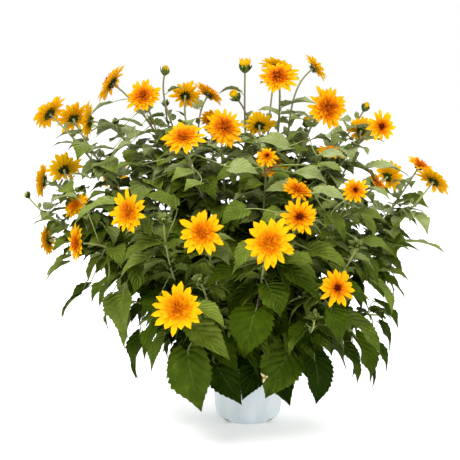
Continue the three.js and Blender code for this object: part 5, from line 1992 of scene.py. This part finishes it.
# The rounds of the small blooms, of the large ones and of the large orange ones, which are
# shaggier: more petals, narrower and of uneven length.
SMALL_ROUNDS = (
    PetalRound(14, 0.14, (0.84, 1.16), 0.14, 0.0, 0.4, -0.02, 0.3, 6, 4),
    PetalRound(12, 0.12, (0.6, 1.0), 0.115, 1.6, 2.4, 0.01, 0.38, 5, 2),
    PetalRound(14, 0.1, (0.44, 0.62), 0.055, 3.0, 4.6, 0.31, 0.3, 3, 2),
    PetalRound(12, 0.07, (0.3, 0.54), 0.042, 4.4, 6.4, 0.42, 0.3, 3, 2),
)
INNER_ROUNDS = (
    PetalRound(26, 0.1, (0.44, 0.62), 0.055, 3.0, 4.6, 0.31, 0.3, 3, 2),
    PetalRound(26, 0.07, (0.3, 0.54), 0.042, 4.4, 6.4, 0.42, 0.3, 3, 2),
    PetalRound(20, 0.03, (0.12, 0.36), 0.036, 5.4, 7.4, 0.52, 0.3, 2, 2),
)
LARGE_ROUNDS = (
    PetalRound(16, 0.14, (0.84, 1.16), 0.14, 0.0, 0.4, -0.02, 0.3, 6, 4),
    PetalRound(16, 0.12, (0.6, 1.0), 0.115, 1.6, 2.4, 0.01, 0.38, 5, 2),
    *INNER_ROUNDS,
)
SHAGGY_ROUNDS = (
    PetalRound(20, 0.14, (0.76, 1.17), 0.12, 0.0, 0.4, -0.03, 0.3, 6, 4),
    PetalRound(19, 0.12, (0.6, 1.04), 0.105, 1.8, 3.4, 0.02, 0.38, 5, 2),
    *INNER_ROUNDS,
)


@dataclass
class Bloom:
    """One semi-double bloom: rounds of pointed petals on a tufted disc.

    Its petals cup as far as `draw` says, which is the draw that the solids use. From `turn` on the
    fields are how unlike each other the petals are, in shares of what each says, and how far from
    the middle a dark heart reaches.
    """

    head: Head
    draw: Draw
    finishes: Finishes
    petal_thickness: float = 0.35
    turn: float = 0.3
    width: tuple[float, float] = (0.85, 1.12)
    lift: float = 0.05
    droop: float = 0.07
    twist: float = 0.35
    swing: float = 0.06
    dark_share: float = 0.29
    disc_foot: float = 3.2
    disc_sides: int = 12
    disc_share: float = 0.19
    disc_tone: float = 0.54
    floret_tone: float = 0.48
    floret_turn: float = 2.39996
    floret_radius: float = 0.7
    large_florets: int = 44
    small_florets: int = 30

    def __post_init__(self) -> None:
        """Take the bloom's numbers from the draw, and pass over those of its solid's petals."""
        self.work, self.at, self.radius = Sheetwork(), HeadFrame(self.head), self.head.width / 2
        self.warm, self.heart = self.head.look.value
        self.full = self.head.width > SMALL_BLOOM
        self.vary = Draw(BLOOM_SEED + BLOOM_SEED_STEP * int(self.head.name))
        self.cup = self.draw.between(-0.1, 0.16)
        for _ in range(LARGE_BLOOM_DRAWS if self.full else SMALL_BLOOM_DRAWS):
            self.draw()

    def rounds(self) -> tuple[PetalRound, ...]:
        """The rounds of petals, from the outermost in."""
        large = SHAGGY_ROUNDS if self.head.look is ORANGE else LARGE_ROUNDS
        return large if self.full else SMALL_ROUNDS

    def build(self) -> Piece:
        """Build the bloom in place of its solid.

        Returns:
            The bloom's piece.
        """
        for petals in self.rounds():
            for k in range(petals.count):
                self.add_petal(petals, k)
        self.add_heart()
        name = self.head.name
        return self.work.finish("petals_" + name, self.finishes.petal, "petals", "bloom_" + name)

    def add_petal(self, petals: PetalRound, k: int) -> None:
        """Put in one pointed petal.

        Args:
            petals: the round that it stands in.
            k: its number in the round.
        """
        radius, between = self.radius, self.vary.between
        turned = k + between(-self.turn, self.turn) + petals.root * 3
        angle = 2 * math.pi * turned / petals.count
        reach = radius * between(*petals.reach)
        wide = radius * petals.half_width * between(*self.width)
        lift = radius * between(-self.lift, self.lift)
        droop = radius * between(0.0, self.droop)
        twist = between(-self.twist, self.twist)
        swing = between(-self.swing, self.swing)
        uneven = 0.05 + petals.warmth * 0.3
        base_warmth = petals.warmth + self.warm + between(-uneven, uneven)
        start = radius * petals.root
        blunt = 0.5 if petals.rows > 4 else 0.85

        def shape(u: Array, v: Array) -> Array:
            """The places of the petal's face.

            Args:
                u: shares along the petal, from 0 to 1.
                v: shares across it, from -1 to 1.

            Returns:
                One place a row.
            """
            out = mix(start, reach, u)
            body = np.sin(np.pi / 2 * held(u / 0.55)) * 0.62 + 0.38
            point = held(1 - held((u - 0.5) / 0.5) ** 2.6) ** blunt
            half = wide * body * point
            cone = 1.4 + (1.8 + radius * self.cup) * (out / radius)
            height = cone + petals.height + petals.rise * u**1.5 + lift * u * u
            height -= droop * held(u - 0.6) ** 2 * 6
            trough = half * (0.34 * np.abs(v) ** 1.5 + 0.3 * twist * v * u)
            turn = angle + swing * u * u + v * half / np.maximum(out, 2.0)
            return self.at.place(out, turn, height + trough)

        def tone(u: Array, v: Array) -> Array:
            """The petal's warmth, which grows toward its root."""
            core = held(1 - mix(start, reach, u) / (radius * self.dark_share))
            return base_warmth + petals.flush * held(1 - u * 1.35) + self.heart * core

        self.work.sheet(petals.rows, petals.columns, shape, tone, self.petal_thickness)

    def add_heart(self) -> None:
        """Put in the disc and the tuft of narrow florets on it."""
        radius, between = self.radius, self.vary.between
        dome, rise = radius * self.disc_share, radius * 0.16 + 4.0 - self.disc_foot
        shares = np.linspace(0, 1, 7)
        path = self.at.neck + np.outer(self.disc_foot + rise * shares, self.at.axis)
        radii = dome * np.sqrt(held(1 - shares**2))
        tone = self.disc_tone + self.warm * 0.2 + self.heart * 0.6
        self.work.tube(path, radii, self.disc_sides, tone)
        florets = self.large_florets if self.full else self.small_florets
        for k in range(florets):
            share = math.sqrt((k + 0.5) / florets)
            angle = k * self.floret_turn + between(-0.15, 0.15)
            foot = self.disc_foot + rise * math.sqrt(max(0.0, 1 - share**2)) - 0.6
            length = radius * mix(0.1, 0.2, share**2) * between(0.7, 1.15)
            lean = mix(0.12, 1.0, share**1.5) * between(0.7, 1.25)
            self.add_floret(dome * 1.15 * share, angle, foot, length, lean)

    def add_floret(self, out: float, angle: float, foot: float, length: float, lean: float) -> None:
        """Put in one narrow floret.

        Args:
            out: its distance from the axis, in mm.
            angle: where it stands round the axis.
            foot: the height that it starts at.
            length: its length.
            lean: how far it leans outward, in radians.
        """
        inner = max(0.0, 1 - out / (self.head.width * 0.13))
        tint = self.floret_tone + self.warm * 0.2 + self.vary.between(-0.18, 0.22)
        tint += inner * (0.12 + self.heart * 1.2)
        outward = self.at.place(1, angle, 0) - self.at.neck
        way = unit(outward * math.sin(lean) + self.at.axis * math.cos(lean))
        half = self.floret_radius + length * 0.06
        self.work.spike(self.at.place(out, angle, foot), way, half, length, tint)


@dataclass
class FallenFloret:
    """A faded floret that lies on a low leaf in front: three short petals on a brown root."""

    finishes: Finishes
    root: Place = (29.0, -174.6, 137.4)
    tips: tuple[Place, ...] = ((20.4, -175.8, 145.4), (24.6, -175.4, 126.4), (34.8, -173.4, 138.6))
    width: float = 7.0
    thickness: float = 0.4

    def build(self) -> Piece:
        """Build it.

        Returns:
            The floret's piece.
        """
        work = Sheetwork()
        root = np.array(self.root)
        for tip in self.tips:
            run = np.array(tip) - root
            side = unit(cross(run, FRONT))

            def shape(u: Array, v: Array) -> Array:
                """The places of one petal's face.

                Args:
                    u: shares along it, from 0 to 1.
                    v: shares across it, from -1 to 1.

                Returns:
                    One place a row.
                """
                half = self.width / 2 * (1 - u**2.4) * (0.5 + 0.5 * np.sin(np.pi / 2 * u))
                curl = 1.2 * np.sin(np.pi * u) + half * np.abs(v) * 0.5
                return root + np.outer(u, run) + np.outer(half * v, side) + np.outer(curl, FRONT)

            work.sheet(5, 4, shape, lambda u, v: 0.85 - 0.85 * held(u * 1.8), self.thickness)
        return work.finish("fallen_floret", self.finishes.faded, "petals")


@dataclass(frozen=True)
class Studio:
    """The pale floor, the soft light and the camera, in metres and degrees."""

    elevation: float = 10.0
    distance: float = 2.17
    target: Place = (-0.037, 0.0, 0.387)
    light_target: Place = (0.0, 0.0, 0.35)
    lens: float = 85.0
    sensor: float = 36.0
    floor_radius: float = 9.0
    floor_glow: float = 0.2

    def build(self) -> None:
        """Build the floor, the lights and the camera."""
        self.add_floor()
        self.add_world()
        self.add_area("key_light", (-1.0, -1.6, 2.8), 1.6, 88.0)
        self.add_area("fill_light", (1.9, -1.6, 1.3), 1.8, 22.0)
        self.add_area("rim_light", (0.3, 1.8, 2.2), 1.6, 40.0)
        self.add_camera()

    @staticmethod
    def place(name: str, data: bpy.types.ID, at: Place | Vector, target: Place) -> Piece:
        """Put a light or the camera into the scene.

        Args:
            name: its name.
            data: the light or camera.
            at: where it stands, in metres.
            target: what it looks at.

        Returns:
            The light or camera in its place.
        """
        made = bpy.data.objects.new(name, data)
        made.location = at
        aim = Vector(target) - made.location
        made.rotation_euler = aim.to_track_quat("-Z", "Y").to_euler()
        bpy.context.collection.objects.link(made)
        return made

    def add_floor(self) -> None:
        """Add the pale floor, a disc that reaches far past the plant."""
        bm = bmesh.new()
        bmesh.ops.create_circle(bm, cap_ends=True, segments=64, radius=self.floor_radius)
        mesh = bpy.data.meshes.new("floor")
        bm.to_mesh(mesh)
        bm.free()
        # White paper, which gives back a little of the light of the surround.
        material, node = new_material("matt_white_floor")
        white = colour("#FFFFFF")
        paper = {"Base Color": white, "Roughness": 0.95, "Emission Color": white}
        paper["Emission Strength"] = self.floor_glow
        node("OutputMaterial", (node("BsdfPrincipled", paper),))
        mesh.materials.append(material)
        floor = bpy.data.objects.new("floor", mesh)
        bpy.context.collection.objects.link(floor)

    def add_world(self) -> None:
        """Light the plant evenly from a white surround."""
        world = bpy.data.worlds.new("white_surround")
        bpy.context.scene.world = world
        world.use_nodes = True
        backdrop = world.node_tree.nodes["Background"]
        backdrop.inputs[0].default_value = colour("#FFFFFF")
        backdrop.inputs[1].default_value = 1.0

    def add_area(self, name: str, at: Place, size: float, power: float) -> None:
        """Add a soft light that looks at the plant.

        Args:
            name: the light's name.
            at: where it stands, in metres.
            size: its width in metres.
            power: its power in watts.
        """
        data = bpy.data.lights.new(name, "AREA")
        data.shape, data.size, data.energy = "DISK", size, power
        self.place(name, data, at, self.light_target)

    def add_camera(self) -> None:
        """Add the camera at the photograph's angle."""
        data = bpy.data.cameras.new("camera")
        data.lens, data.sensor_width = self.lens, self.sensor
        a = math.radians(self.elevation)
        at = Vector(self.target) + Vector((0, -math.cos(a), math.sin(a))) * self.distance
        bpy.context.scene.camera = self.place("camera", data, at, self.target)


def main() -> None:
    """Build the plant piece by piece, then the studio."""
    logging.basicConfig(level=logging.INFO, format="%(message)s")
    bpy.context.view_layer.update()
    bpy.context.scene.view_settings.view_transform = "Standard"
    finishes = Finishes()
    stems = Layout().stems
    Pot(finishes).build()
    Soil(finishes).build()
    for stem in stems:
        LeafyStem(stem, finishes).build()
    draw = Draw(PETAL_SEED)
    for head in (head for stem in stems for head in stem.plan.blooms):
        Bloom(head, draw, finishes).build()
    FallenFloret(finishes).build()
    Studio().build()
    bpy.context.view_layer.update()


if __name__ == "__main__":
    main()
